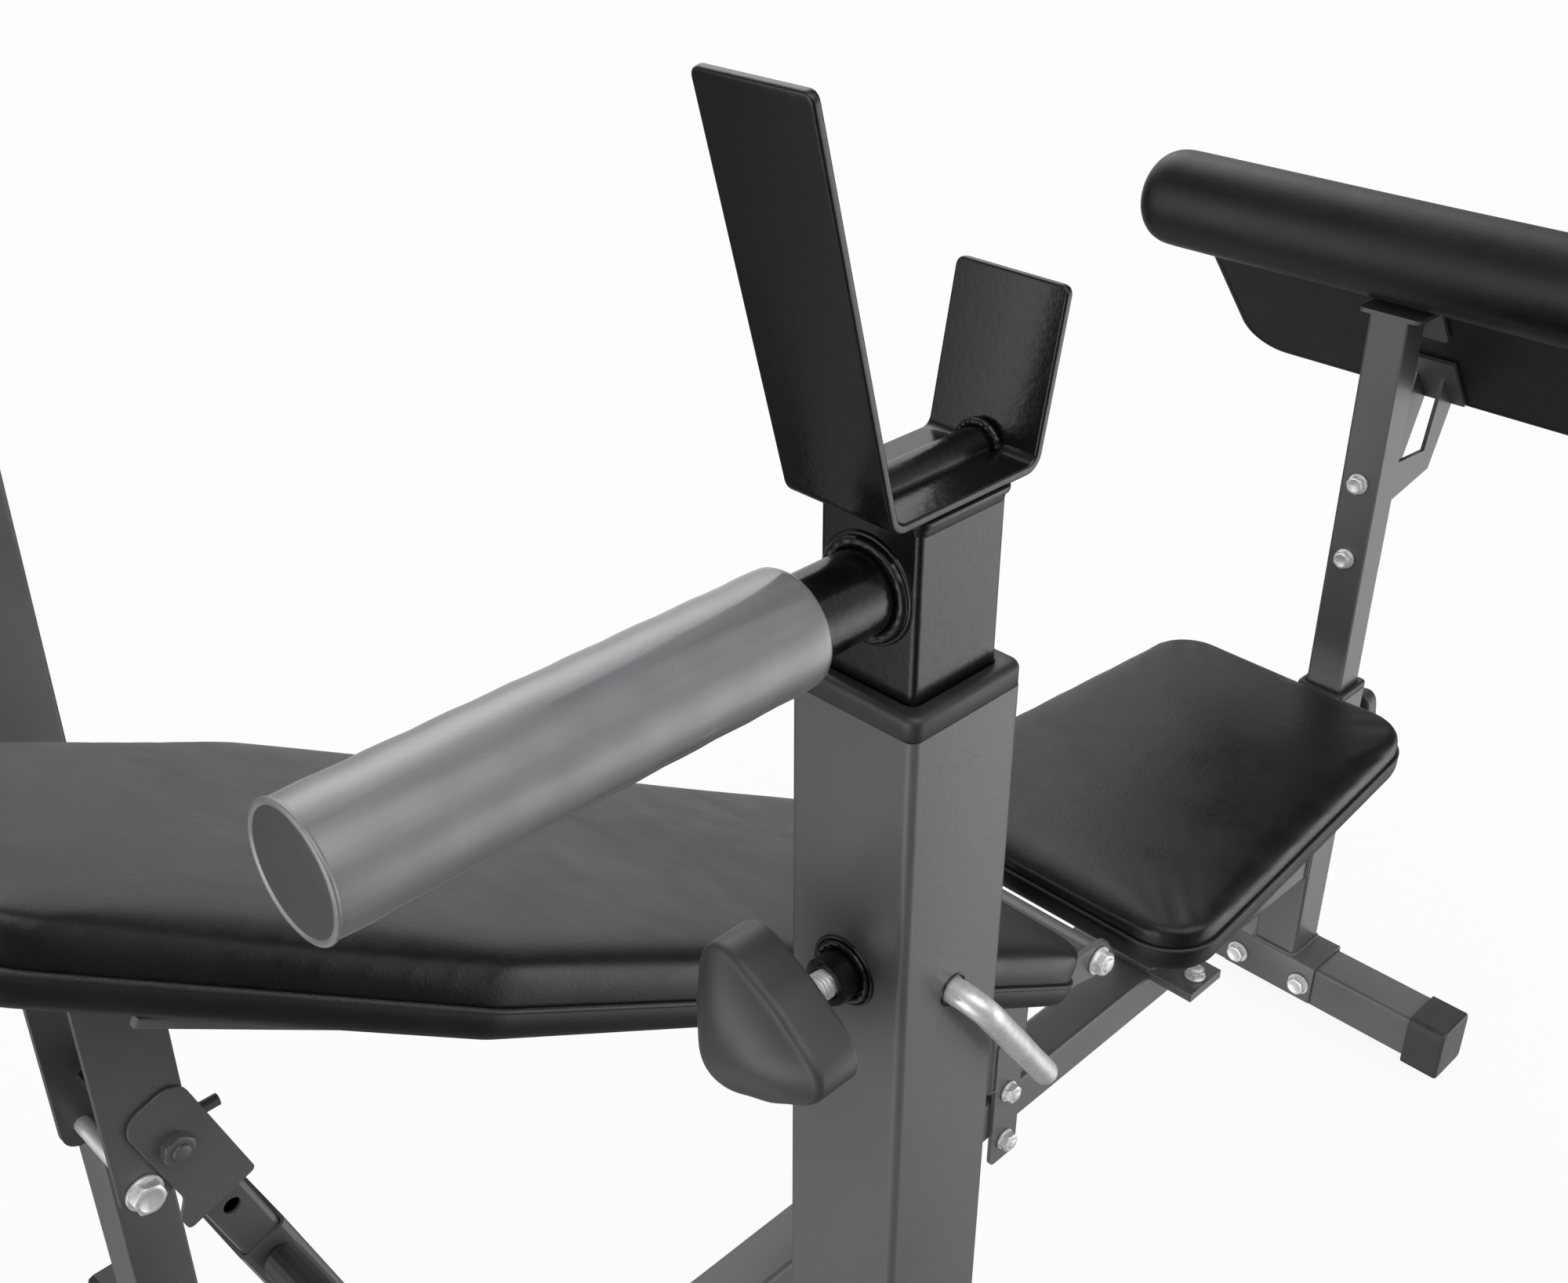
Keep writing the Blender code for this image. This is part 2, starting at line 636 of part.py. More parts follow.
def build_base(steel, plastic, zinc):
    for label, y, half_length in (("front", FRONT_Y, FRONT_HALF_LENGTH), ("rear", REAR_Y, REAR_HALF_LENGTH)):
        holes = [drill(LARGE_BOLT[0], *ends) for ends in foot_bolt_holes(0, y)]
        piece(label + "_crossbar", crossbar(y, half_length), steel, cuts=holes)
        for side_name, side in SIDES:
            piece(label + "_cap_" + side_name, foot_cap(side, y, half_length), plastic)
            fastener = bolt(LARGE_BOLT, *foot_bolt_ends(0, y, side))
            piece(label + "_bolt_" + side_name, fastener, zinc)

    rail_start = FRONT_Y + BASE_TUBE / 2 + GAP
    rail_end = REAR_Y - BASE_TUBE / 2 - GAP
    rail = square_tube(RAIL_TUBE, RAIL_TUBE, BASE_WALL, rail_end - rail_start)
    rail = placed(rail, frame((0, rail_start, RAIL_TOP - RAIL_TUBE / 2), Y_AXIS, X_AXIS))
    tabs = []
    for _, side in SIDES:
        inner, outer = side * (RAIL_TUBE / 2 - BASE_WALL / 2), side * FOOT_PLATE_HALF_LENGTH
        low = (min(inner, outer), SEAT_POST_Y - FOOT_PLATE_HALF_WIDTH, RAIL_TOP - TAB_PLATE - TUBE_CORNER)
        high = (max(inner, outer), SEAT_POST_Y + FOOT_PLATE_HALF_WIDTH, RAIL_TOP - TUBE_CORNER)
        tabs.append(moved(block(low, high), (0, 0, TUBE_CORNER)))
    holes = [drill(SMALL_BOLT[0], *seat_bolt_line(side, WASHER)) for _, side in SIDES]
    piece("main_rail", rail, steel, joins=tabs, cuts=holes)

    sleeve = standing_tube(0, FRONT_Y, SLEEVE_TOP)
    holes = [drill(LARGE_BOLT[0], *ends) for ends in foot_bolt_holes(0, FRONT_Y)]
    holes.append(bush_hole(0, FRONT_Y, PREACHER_CLAMP_HEIGHT, -1))
    bush = screw_bush(0, FRONT_Y, PREACHER_CLAMP_HEIGHT, -1)
    piece("front_sleeve", sleeve, steel, joins=[foot_bracket(0, FRONT_Y), bush], cuts=holes)
    piece("sleeve_collar", tube_collar(0, FRONT_Y, SLEEVE_TOP), plastic)

    riser = standing_tube(0, REAR_Y, RAIL_TOP)
    lid_outline = rectangle(BASE_TUBE - BASE_WALL, BASE_TUBE - BASE_WALL, TUBE_CORNER - BASE_WALL / 2)
    lid_low = RAIL_TOP - 2 * BRACKET_PLATE
    lid = moved(stack([(lid_outline, lid_low), (lid_outline, lid_low + BRACKET_PLATE)]), (0, REAR_Y, 0))
    holes = [drill(LARGE_BOLT[0], *ends) for ends in foot_bolt_holes(0, REAR_Y)]
    drain_radius = BASE_TUBE / 4
    holes.append(rod(drain_radius, (0, REAR_Y, TUBE_TOP), (0, REAR_Y, WEB_TOP + BRACKET_PLATE)))
    piece("rear_riser", riser, steel, joins=[foot_bracket(0, REAR_Y), lid], cuts=holes)

    for side_name, side in SIDES:
        x = side * UPRIGHT_SPACING / 2
        outer_face = x + side * (BASE_TUBE / 2 + BASE_WALL)
        inner_face = x + side * (BASE_TUBE / 2 - 2 * BASE_WALL)
        holes = [bush_hole(x, REAR_Y, CLAMP_HEIGHT, 1),
                 drill(PIN_RADIUS, (inner_face, REAR_Y, PIN_HEIGHT), (outer_face, REAR_Y, PIN_HEIGHT))]
        parts = [foot_bracket(x, REAR_Y), screw_bush(x, REAR_Y, CLAMP_HEIGHT, 1)]
        piece("upright_" + side_name, standing_tube(x, REAR_Y, UPRIGHT_TOP), steel, joins=parts, cuts=holes)
        piece("collar_" + side_name, tube_collar(x, REAR_Y, UPRIGHT_TOP), plastic)


# Racks

def saddle_path():
    """Middle line of the saddle's plate, from the tall flange to the short one."""
    floor = SADDLE_FLOOR - SADDLE_PLATE / 2
    tall = SADDLE_FOLD + (TALL_FLANGE_TOP - floor) * tan(TALL_FLANGE_LEAN)
    short = SADDLE_FOLD + (SHORT_FLANGE_TOP - floor) * tan(SHORT_FLANGE_LEAN)
    corners = [(0, tall, TALL_FLANGE_TOP), (0, SADDLE_FOLD, floor),
               (0, -SADDLE_FOLD, floor), (0, -short, SHORT_FLANGE_TOP)]
    return rounded_path(corners, SADDLE_BEND)


def knob_outline(offset):
    """Three round lobes, drawn in by offset all round."""
    points = []
    for index in range(KNOB_POINTS):
        angle = 2 * pi * index / KNOB_POINTS
        wave = KNOB_LOBE * cos(3 * (angle - KNOB_TURN)) + KNOB_RIPPLE * cos(6 * (angle - KNOB_TURN))
        radius = KNOB_RADIUS + wave - offset
        points.append((radius * cos(angle), radius * sin(angle)))
    return points


def clamp_knob(x, y, height, direction):
    """Moulded head with the blind bore that holds the screw's end."""
    bore = circle((SCREW_RADIUS + GAP) / cos(pi / KNOB_POINTS), KNOB_POINTS)
    top = KNOB_RIM + KNOB_DOME
    layers = [(bore, KNOB_BORE), (bore, 0), (knob_outline(KNOB_EDGE), 0), (knob_outline(0), KNOB_EDGE),
              (knob_outline(0), KNOB_RIM - KNOB_EDGE),
              (knob_outline(KNOB_EDGE * 0.5), KNOB_RIM - KNOB_EDGE * 0.4),
              (knob_outline(KNOB_EDGE * 1.6), KNOB_RIM)]
    dome = knob_outline(KNOB_EDGE * 1.6)
    for factor in (0.72, 0.45, 0.20):
        layers.append((scaled(dome, factor), KNOB_RIM + (top - KNOB_RIM) * cos(pi / 2 * factor)))
    place = frame((x, y + direction * KNOB_START, height), Y_AXIS * direction, X_AXIS * direction)
    return placed(stack(layers), place)


def clamp_screw(x, y, height, direction):
    """Screw whose tip rests against the sliding tube."""
    start = INNER_TUBE / 2 + GAP
    tip = SCREW_RADIUS * 0.7
    layers = [(circle(tip, 16), 0), (circle(SCREW_RADIUS, 16), SCREW_RADIUS - tip),
              (circle(SCREW_RADIUS, 16), SCREW_LENGTH)]
    return placed(stack(layers), frame((x, y + direction * start, height), Y_AXIS * direction, X_AXIS))


def rack_pin(x, side):
    """Round bar through the upright's wall, bent down into a handle."""
    leg = Vector((0, -PIN_LEG[0], -PIN_LEG[1]))
    start = Vector((x + side * (INNER_TUBE / 2 + GAP), REAR_Y, PIN_HEIGHT))
    corner = Vector((x + side * PIN_OUT, REAR_Y, PIN_HEIGHT))
    path = rounded_path([start, corner, corner + leg - leg.normalized() * PIN_RADIUS], PIN_BEND, 5)
    return swept_rod(path, PIN_RADIUS)


def dip_stub(x):
    weld = (STUB_WELD_RADIUS - STUB_RADIUS) / 3
    bore = circle(STUB_RADIUS - STUB_WALL)
    layers = [(circle(STUB_WELD_RADIUS), 0), (circle(STUB_WELD_RADIUS - weld * 0.5), weld * 1.6),
              (circle(STUB_RADIUS + weld), weld * 3), (circle(STUB_RADIUS), weld * 4.5),
              (circle(STUB_RADIUS), STUB_LENGTH), (bore, STUB_LENGTH), (bore, 0)]
    place = frame((x, REAR_Y + INNER_TUBE / 2 + GAP, STUB_HEIGHT), Y_AXIS, X_AXIS)
    return placed(stack(layers, wrap=True), place)


def dip_grip(x):
    """Soft sleeve whose closed end has a bead round a sunk face."""
    bore = circle(STUB_RADIUS + 2 * GAP)
    depth = INNER_TUBE / 2 + GAP + STUB_LENGTH + GAP - GRIP_START
    layers = [(bore, depth), (bore, 0), (circle(GRIP_RADIUS - GRIP_BEAD / 2), 0),
              (circle(GRIP_RADIUS), GRIP_BEAD)]
    for outward, back in ((0, 6), (1, 4.8), (1, 1.8), (0.4, 0.5), (-0.8, 0), (-2.4, 0.2), (-3.6, 1)):
        layers.append((circle(GRIP_RADIUS + GRIP_BEAD * outward), GRIP_LENGTH - GRIP_BEAD * back))
    return placed(stack(layers), frame((x, REAR_Y + GRIP_START, STUB_HEIGHT), Y_AXIS, X_AXIS))


def build_racks(steel, zinc, knob_plastic, grip):
    for side_name, side in SIDES:
        x = side * UPRIGHT_SPACING / 2
        rack = joint_empty("rack_axis_" + side_name, (x, REAR_Y, UPRIGHT_TOP))
        top = SADDLE_FLOOR - SADDLE_PLATE - GAP
        tube = square_tube(INNER_TUBE, INNER_TUBE, INNER_WALL, top - RACK_LOW, INNER_CORNER)
        reach = INNER_TUBE
        holes = []
        for step in range(RACK_STEPS + 1):
            height = PIN_HEIGHT - step * RACK_PITCH
            holes.append(drill(PIN_RADIUS, (x - reach, REAR_Y, height), (x + reach, REAR_Y, height)))
        piece("rack_tube_" + side_name, moved(tube, (x, REAR_Y, RACK_LOW)), steel, rack, cuts=holes)

        plate = bent_strip(saddle_path(), SADDLE_PLATE, SADDLE_HALF_WIDTH, SADDLE_CORNER)
        rod_height = SADDLE_FLOOR + SADDLE_ROD_RADIUS - SADDLE_ROD_SUNK
        rod_end = SADDLE_FOLD + SADDLE_PLATE / 4
        bar = rod(SADDLE_ROD_RADIUS, (0, -rod_end, rod_height), (0, rod_end, rod_height))
        weld = [(circle(SADDLE_ROD_RADIUS + SADDLE_BEAD * share), SADDLE_BEAD * rise)
                for share, rise in ((1, 0), (0.95, 1.6), (0.4, 2.3))]
        bead = placed(stack(weld), frame((0, -SADDLE_FOLD, rod_height), Y_AXIS, X_AXIS))
        saddle = moved(plate, (x, REAR_Y, 0))
        extras = [moved(bar, (x, REAR_Y, 0)), moved(bead, (x, REAR_Y, 0))]
        piece("saddle_" + side_name, saddle, steel, rack, joins=extras)
        piece("dip_stub_" + side_name, dip_stub(x), steel, rack)
        piece("dip_grip_" + side_name, dip_grip(x), grip, rack)

        turn = joint_empty("clamp_axis_" + side_name, (x, REAR_Y, CLAMP_HEIGHT))
        piece("clamp_screw_" + side_name, clamp_screw(x, REAR_Y, CLAMP_HEIGHT, 1), zinc, turn)
        piece("clamp_knob_" + side_name, clamp_knob(x, REAR_Y, CLAMP_HEIGHT, 1), knob_plastic, turn)
        pin = joint_empty("pin_axis_" + side_name, (x, REAR_Y, PIN_HEIGHT))
        piece("rack_pin_" + side_name, rack_pin(x, side), zinc, pin)


# Preacher stand

def preacher_frame():
    """Local X is the bench's X, local Y runs down the board, local Z out of its front."""
    down = Vector((0, -cos(BOARD_SLOPE), -sin(BOARD_SLOPE)))
    out = Vector((0, -sin(BOARD_SLOPE), cos(BOARD_SLOPE)))
    origin = (0, FRONT_Y - INNER_TUBE / 2 - BOARD_STANDOFF, PREACHER_TOP)
    rows = [(X_AXIS[i], down[i], out[i], origin[i]) for i in range(3)]
    return Matrix((*rows, (0, 0, 0, 1)))


def preacher_outline(start, end, narrowing):
    slope = (PREACHER_TOP_HALF_WIDTH - PREACHER_LOW_HALF_WIDTH) / PREACHER_BOARD_LENGTH
    top = PREACHER_TOP_HALF_WIDTH - slope * start - narrowing
    low = PREACHER_TOP_HALF_WIDTH - slope * end - narrowing
    corners = [(-top, start), (top, start), (low, end), (-low, end)]
    return rounded_polygon(corners, (0, 0, PREACHER_CORNER, PREACHER_CORNER), 6)


def build_preacher(steel, zinc, knob_plastic, board_cover, vinyl):
    stand = joint_empty("preacher_axis", (0, FRONT_Y, SLEEVE_TOP))
    board = preacher_frame()
    post_length = PREACHER_TOP - HEAD_PLATE / 2 - GAP - PREACHER_LOW
    tube = square_tube(INNER_TUBE, INNER_TUBE, INNER_WALL, post_length, INNER_CORNER)
    head_height = PREACHER_TOP - GAP - HEAD_PLATE / 2
    under = board @ Vector((0, 0, -GAP - HEAD_PLATE / 2))
    corner_y = under.y + (head_height - under.z) / tan(BOARD_SLOPE)
    down = Vector((0, -cos(BOARD_SLOPE), -sin(BOARD_SLOPE)))
    corner = Vector((0, corner_y, head_height))
    back = (0, FRONT_Y + INNER_TUBE / 2, head_height)
    head_path = rounded_path([back, corner, corner + down * HEAD_FLANGE], HEAD_PLATE, 3)
    head = bent_strip(head_path, HEAD_PLATE, HEAD_HALF_WIDTH, SADDLE_CORNER)
    post_face = BASE_TUBE / 2
    holes = []
    for height in (ARM_BOLT_HIGH, ARM_BOLT_LOW):
        holes.append(((0, FRONT_Y - post_face, height), (0, FRONT_Y + post_face, height)))
    piece("preacher_post", moved(tube, (0, FRONT_Y, PREACHER_LOW)), steel, stand, joins=[head],
          cuts=[drill(SMALL_BOLT[0], *ends) for ends in holes])

    face = FRONT_Y - INNER_TUBE / 2 - GAP
    margin = ARM_HEIGHT / 2
    plate = block((-ARM_HALF_WIDTH, face - ARM_PLATE, ARM_BOLT_LOW - margin),
                  (ARM_HALF_WIDTH, face, ARM_BOLT_HIGH + margin * 0.8))
    seat_far = board @ Vector((0, ARM_REACH, -GAP - ARM_PLATE / 2))
    seat_near = board @ Vector((0, ARM_REACH * 0.72, -GAP - ARM_PLATE / 2))
    inner = face - ARM_PLATE / 2
    upper = ARM_BOLT_HIGH + ARM_HEIGHT * 0.34
    lower = upper - ARM_HEIGHT
    elbow = face - ARM_REACH * 0.37
    outline = [(inner, lower), (inner, upper), (elbow, upper - ARM_PLATE), (seat_near.y, seat_near.z),
               (seat_far.y, seat_far.z), (elbow - ARM_PLATE * 4, lower + ARM_PLATE * 3)]
    flange = placed(block((-HEAD_HALF_WIDTH, ARM_REACH * 0.55, -GAP - ARM_PLATE),
                          (HEAD_HALF_WIDTH, ARM_REACH, -GAP)), board)
    cheeks = []
    for _, side in SIDES:
        low_x, high_x = sorted((side * ARM_HALF_WIDTH, side * (ARM_HALF_WIDTH - ARM_PLATE)))
        cheeks.append(prism(outline, low_x, high_x, side_view()))
    piece("preacher_bracket", plate, steel, stand, joins=cheeks + [flange],
          cuts=[drill(SMALL_BOLT[0], *ends) for ends in holes])
    for label, height in (("upper", ARM_BOLT_HIGH), ("lower", ARM_BOLT_LOW)):
        ends = ((0, FRONT_Y + INNER_TUBE / 2 + GAP, height), (0, face - ARM_PLATE - GAP, height))
        piece("preacher_bolt_" + label, bolt(SMALL_BOLT, *ends), zinc, stand)

    panel = preacher_outline(0, PREACHER_BOARD_LENGTH - BOARD_INSET, BOARD_INSET)
    piece("preacher_board", prism(panel, 0, BOARD_THICKNESS, board), board_cover, stand)
    roll_along = -sqrt(ROLL_RADIUS ** 2 - ROLL_OFFSET ** 2) - BOARD_STANDOFF / 2
    pad = cushion(preacher_outline(roll_along * 0.4, PREACHER_BOARD_LENGTH, 0),
                  PREACHER_PAD_THICKNESS, CUSHION_CROWN / 2)
    pad = placed(pad, board @ Matrix.Translation((0, 0, BOARD_THICKNESS + GAP)))
    layers = [(circle(ROLL_RADIUS - ROLL_EDGE * (1 - sin(pi / 2 * step / 5)), 28),
               -ROLL_HALF_LENGTH + ROLL_EDGE * (1 - cos(pi / 2 * step / 5))) for step in range(6)]
    layers += [(outline, -height) for outline, height in reversed(layers)]
    centre = board @ Vector((0, roll_along, ROLL_OFFSET))
    roll = placed(stack(layers), frame(centre, X_AXIS, Y_AXIS))
    piece("preacher_pad", roll, vinyl, stand, joins=[pad])

    turn = joint_empty("preacher_clamp_axis", (0, FRONT_Y, PREACHER_CLAMP_HEIGHT))
    piece("preacher_screw", clamp_screw(0, FRONT_Y, PREACHER_CLAMP_HEIGHT, -1), zinc, turn)
    piece("preacher_knob", clamp_knob(0, FRONT_Y, PREACHER_CLAMP_HEIGHT, -1), knob_plastic, turn)


# Seat

def seat_bolt_line(side, margin=0.0):
    x = side * SEAT_BOLT_X
    top = RAIL_TOP + GAP + FOOT_PLATE + GAP
    low = RAIL_TOP - TAB_PLATE - GAP
    return (x, SEAT_POST_Y, top + margin), (x, SEAT_POST_Y, low - margin)


def build_seat(steel, zinc, board_cover, vinyl):
    y = SEAT_POST_Y
    plate_low = RAIL_TOP + GAP
    plate_top = plate_low + FOOT_PLATE
    board_low = SEAT_TOP - SEAT_THICKNESS
    carrier_top = board_low - GAP
    carrier_low = carrier_top - FOOT_PLATE
    sunk = FOOT_PLATE / 4
    post = square_tube(RAIL_TUBE, RAIL_TUBE, BASE_WALL, carrier_low - plate_top + 2 * sunk)
    post = moved(post, (0, y, plate_top - sunk))
    foot = block((-FOOT_PLATE_HALF_LENGTH, y - FOOT_PLATE_HALF_WIDTH, plate_low),
                 (FOOT_PLATE_HALF_LENGTH, y + FOOT_PLATE_HALF_WIDTH, plate_top))
    carrier = block((-CARRIER_HALF_WIDTH, y - CARRIER_HALF_LENGTH, carrier_low),
                    (CARRIER_HALF_WIDTH, y + CARRIER_HALF_LENGTH, carrier_top))
    gussets = []
    for _, side in SIDES:
        inner = RAIL_TUBE / 2 - BASE_WALL / 2
        outline = [(y + side * inner, carrier_low + sunk), (y + side * inner, carrier_low - GUSSET_DEPTH),
                   (y + side * GUSSET_REACH, carrier_low + sunk)]
        gussets.append(prism(outline, -FOOT_PLATE / 2, FOOT_PLATE / 2, side_view()))
    holes = [drill(SMALL_BOLT[0], *seat_bolt_line(side, WASHER)) for _, side in SIDES]
    holes.append(rod(RAIL_TUBE / 4, (0, y, plate_low - FOOT_PLATE), (0, y, plate_top + FOOT_PLATE)))
    piece("seat_post", post, steel, joins=[foot, carrier] + gussets, cuts=holes)
    for side_name, side in SIDES:
        piece("seat_bolt_" + side_name, bolt(SMALL_BOLT, *seat_bolt_line(side)), zinc)

    front = SEAT_REAR_Y - SEAT_LENGTH
    corners = [(-SEAT_FRONT_HALF_WIDTH, front), (SEAT_FRONT_HALF_WIDTH, front),
               (SEAT_REAR_HALF_WIDTH, SEAT_REAR_Y), (-SEAT_REAR_HALF_WIDTH, SEAT_REAR_Y)]
    outline = rounded_polygon(corners, [SEAT_CORNER] * 4, 6)
    panel = inset(outline, BOARD_INSET)
    piece("seat_board", stack([(panel, board_low), (panel, board_low + BOARD_THICKNESS)]), board_cover)
    pad_low = board_low + BOARD_THICKNESS + GAP
    pad = cushion(outline, SEAT_TOP - pad_low - CUSHION_CROWN, CUSHION_CROWN)
    piece("seat_pad", moved(pad, (0, 0, pad_low)), vinyl)


# Backrest and its prop

def slope_frame():
    """Local X is the bench's X, local Y runs up the slope, local Z out of the pad."""
    turn = Matrix.Rotation(INCLINE, 4, "X")
    return Matrix.Translation((0, HINGE_Y, HINGE_HEIGHT)) @ turn


def prop_points():
    """Upper pivot on the hanger and lower pivot over the rail."""
    upper = slope_frame() @ Vector((0, PROP_ALONG, -PROP_DROP))
    low_z = RAIL_TOP + LUG_HEIGHT
    lower = Vector((0, upper.y - (upper.z - low_z) * tan(PROP_LEAN), low_z))
    return upper, lower


def build_hinge_post(steel, zinc):
    y = HINGE_Y
    inner = RAIL_TUBE / 2 + GAP
    plates = []
    post_low = RAIL_TOP + POST_LIFT
    clamp_top = post_low + 3 * CLAMP_HALF_WIDTH
    for _, side in SIDES:
        low_x, high_x = sorted((side * inner, side * (inner + CLAMP_PLATE)))
        height = clamp_top - CLAMP_LOW
        outline = rectangle(2 * CLAMP_HALF_WIDTH, height, CLAMP_CORNER, (y, CLAMP_LOW + height / 2), 3)
        plates.append(prism(outline, low_x, high_x, side_view()))
    tube_low = HINGE_HEIGHT - HINGE_TUBE_RADIUS
    post = square_tube(BASE_TUBE, BASE_TUBE, BASE_WALL, tube_low - post_low - BASE_WALL / 2)
    half = BASE_TUBE / 2
    cap = block((-half, y - half, tube_low - BASE_WALL), (half, y + half, tube_low + BASE_WALL / 2))
    reach = ARM_SPACING / 2 - ARM_BAR / 2 - GAP
    tube = rod(HINGE_TUBE_RADIUS, (-reach, y, HINGE_HEIGHT), (reach, y, HINGE_HEIGHT))
    bolt_x = inner + CLAMP_PLATE + GAP
    upper = RAIL_TOP + CLAMP_BOLT_OFFSET
    lower = RAIL_TOP - RAIL_TUBE - CLAMP_BOLT_OFFSET
    past = bolt_x + WASHER
    cuts = [drill(HINGE_BOLT_RADIUS, (-ARM_SPACING, y, HINGE_HEIGHT), (ARM_SPACING, y, HINGE_HEIGHT))]
    for height in (upper, lower):
        cuts.append(drill(SMALL_BOLT[0], (-past, y, height), (past, y, height)))
    piece("hinge_post", moved(post, (0, y, post_low)), steel, joins=plates + [cap, tube], cuts=cuts)
    for label, height in (("upper", upper), ("lower", lower)):
        piece("clamp_bolt_" + label, bolt(SMALL_BOLT, (-bolt_x, y, height), (bolt_x, y, height)), zinc)


def build_lug(steel):
    _, pivot = prop_points()
    sleeve_half = PROP_WIDTH / 2 + GAP + SLEEVE_WALL
    inner = sleeve_half + GAP
    outer = inner + LUG_PLATE
    low = RAIL_TOP + GAP
    web = block((-outer, pivot.y - LUG_HALF_LENGTH, low),
                (outer, pivot.y + LUG_HALF_LENGTH, low + LUG_PLATE))
    ears = []
    crown = LUG_SLOT_RADIUS + LUG_PLATE * 1.5
    for _, side in SIDES:
        low_x, high_x = sorted((side * inner, side * outer))
        near, far = pivot.y - LUG_HALF_LENGTH, pivot.y + LUG_HALF_LENGTH
        foot, top = low + LUG_PLATE / 2, pivot.z + crown
        corners = [(near, foot), (far, foot), (far, top), (near, top)]
        outline = rounded_polygon(corners, (0, 0, LUG_SLOT_RADIUS, LUG_SLOT_RADIUS), 4)
        ears.append(prism(outline, low_x, high_x, side_view()))
    first = pivot.y + LUG_SLOT[0]
    last = pivot.y + LUG_SLOT[1]
    slot_corners = [(first, pivot.z - LUG_SLOT_RADIUS), (last, pivot.z - LUG_SLOT_RADIUS),
                    (last, pivot.z + LUG_SLOT_RADIUS), (first, pivot.z + LUG_SLOT_RADIUS)]
    slot = rounded_polygon(slot_corners, [LUG_SLOT_RADIUS * 0.95] * 4, 5)
    cut = prism(slot, -outer - LUG_PLATE, outer + LUG_PLATE, side_view())
    piece("prop_lug", web, steel, joins=ears, cuts=[cut])


def backrest_outline(narrowing):
    start, end = PAD_START + narrowing, PAD_END - narrowing
    wide, narrow = PAD_HALF_WIDTH - narrowing, PAD_HEAD_HALF_WIDTH - narrowing
    corners = [(wide, start), (wide, PAD_BEND), (narrow, end),
               (-narrow, end), (-wide, PAD_BEND), (-wide, start)]
    radii = (PAD_CORNER, PAD_BEND_RADIUS, PAD_HEAD_CORNER, PAD_HEAD_CORNER, PAD_BEND_RADIUS, PAD_CORNER)
    return rounded_polygon(corners, radii, 5)


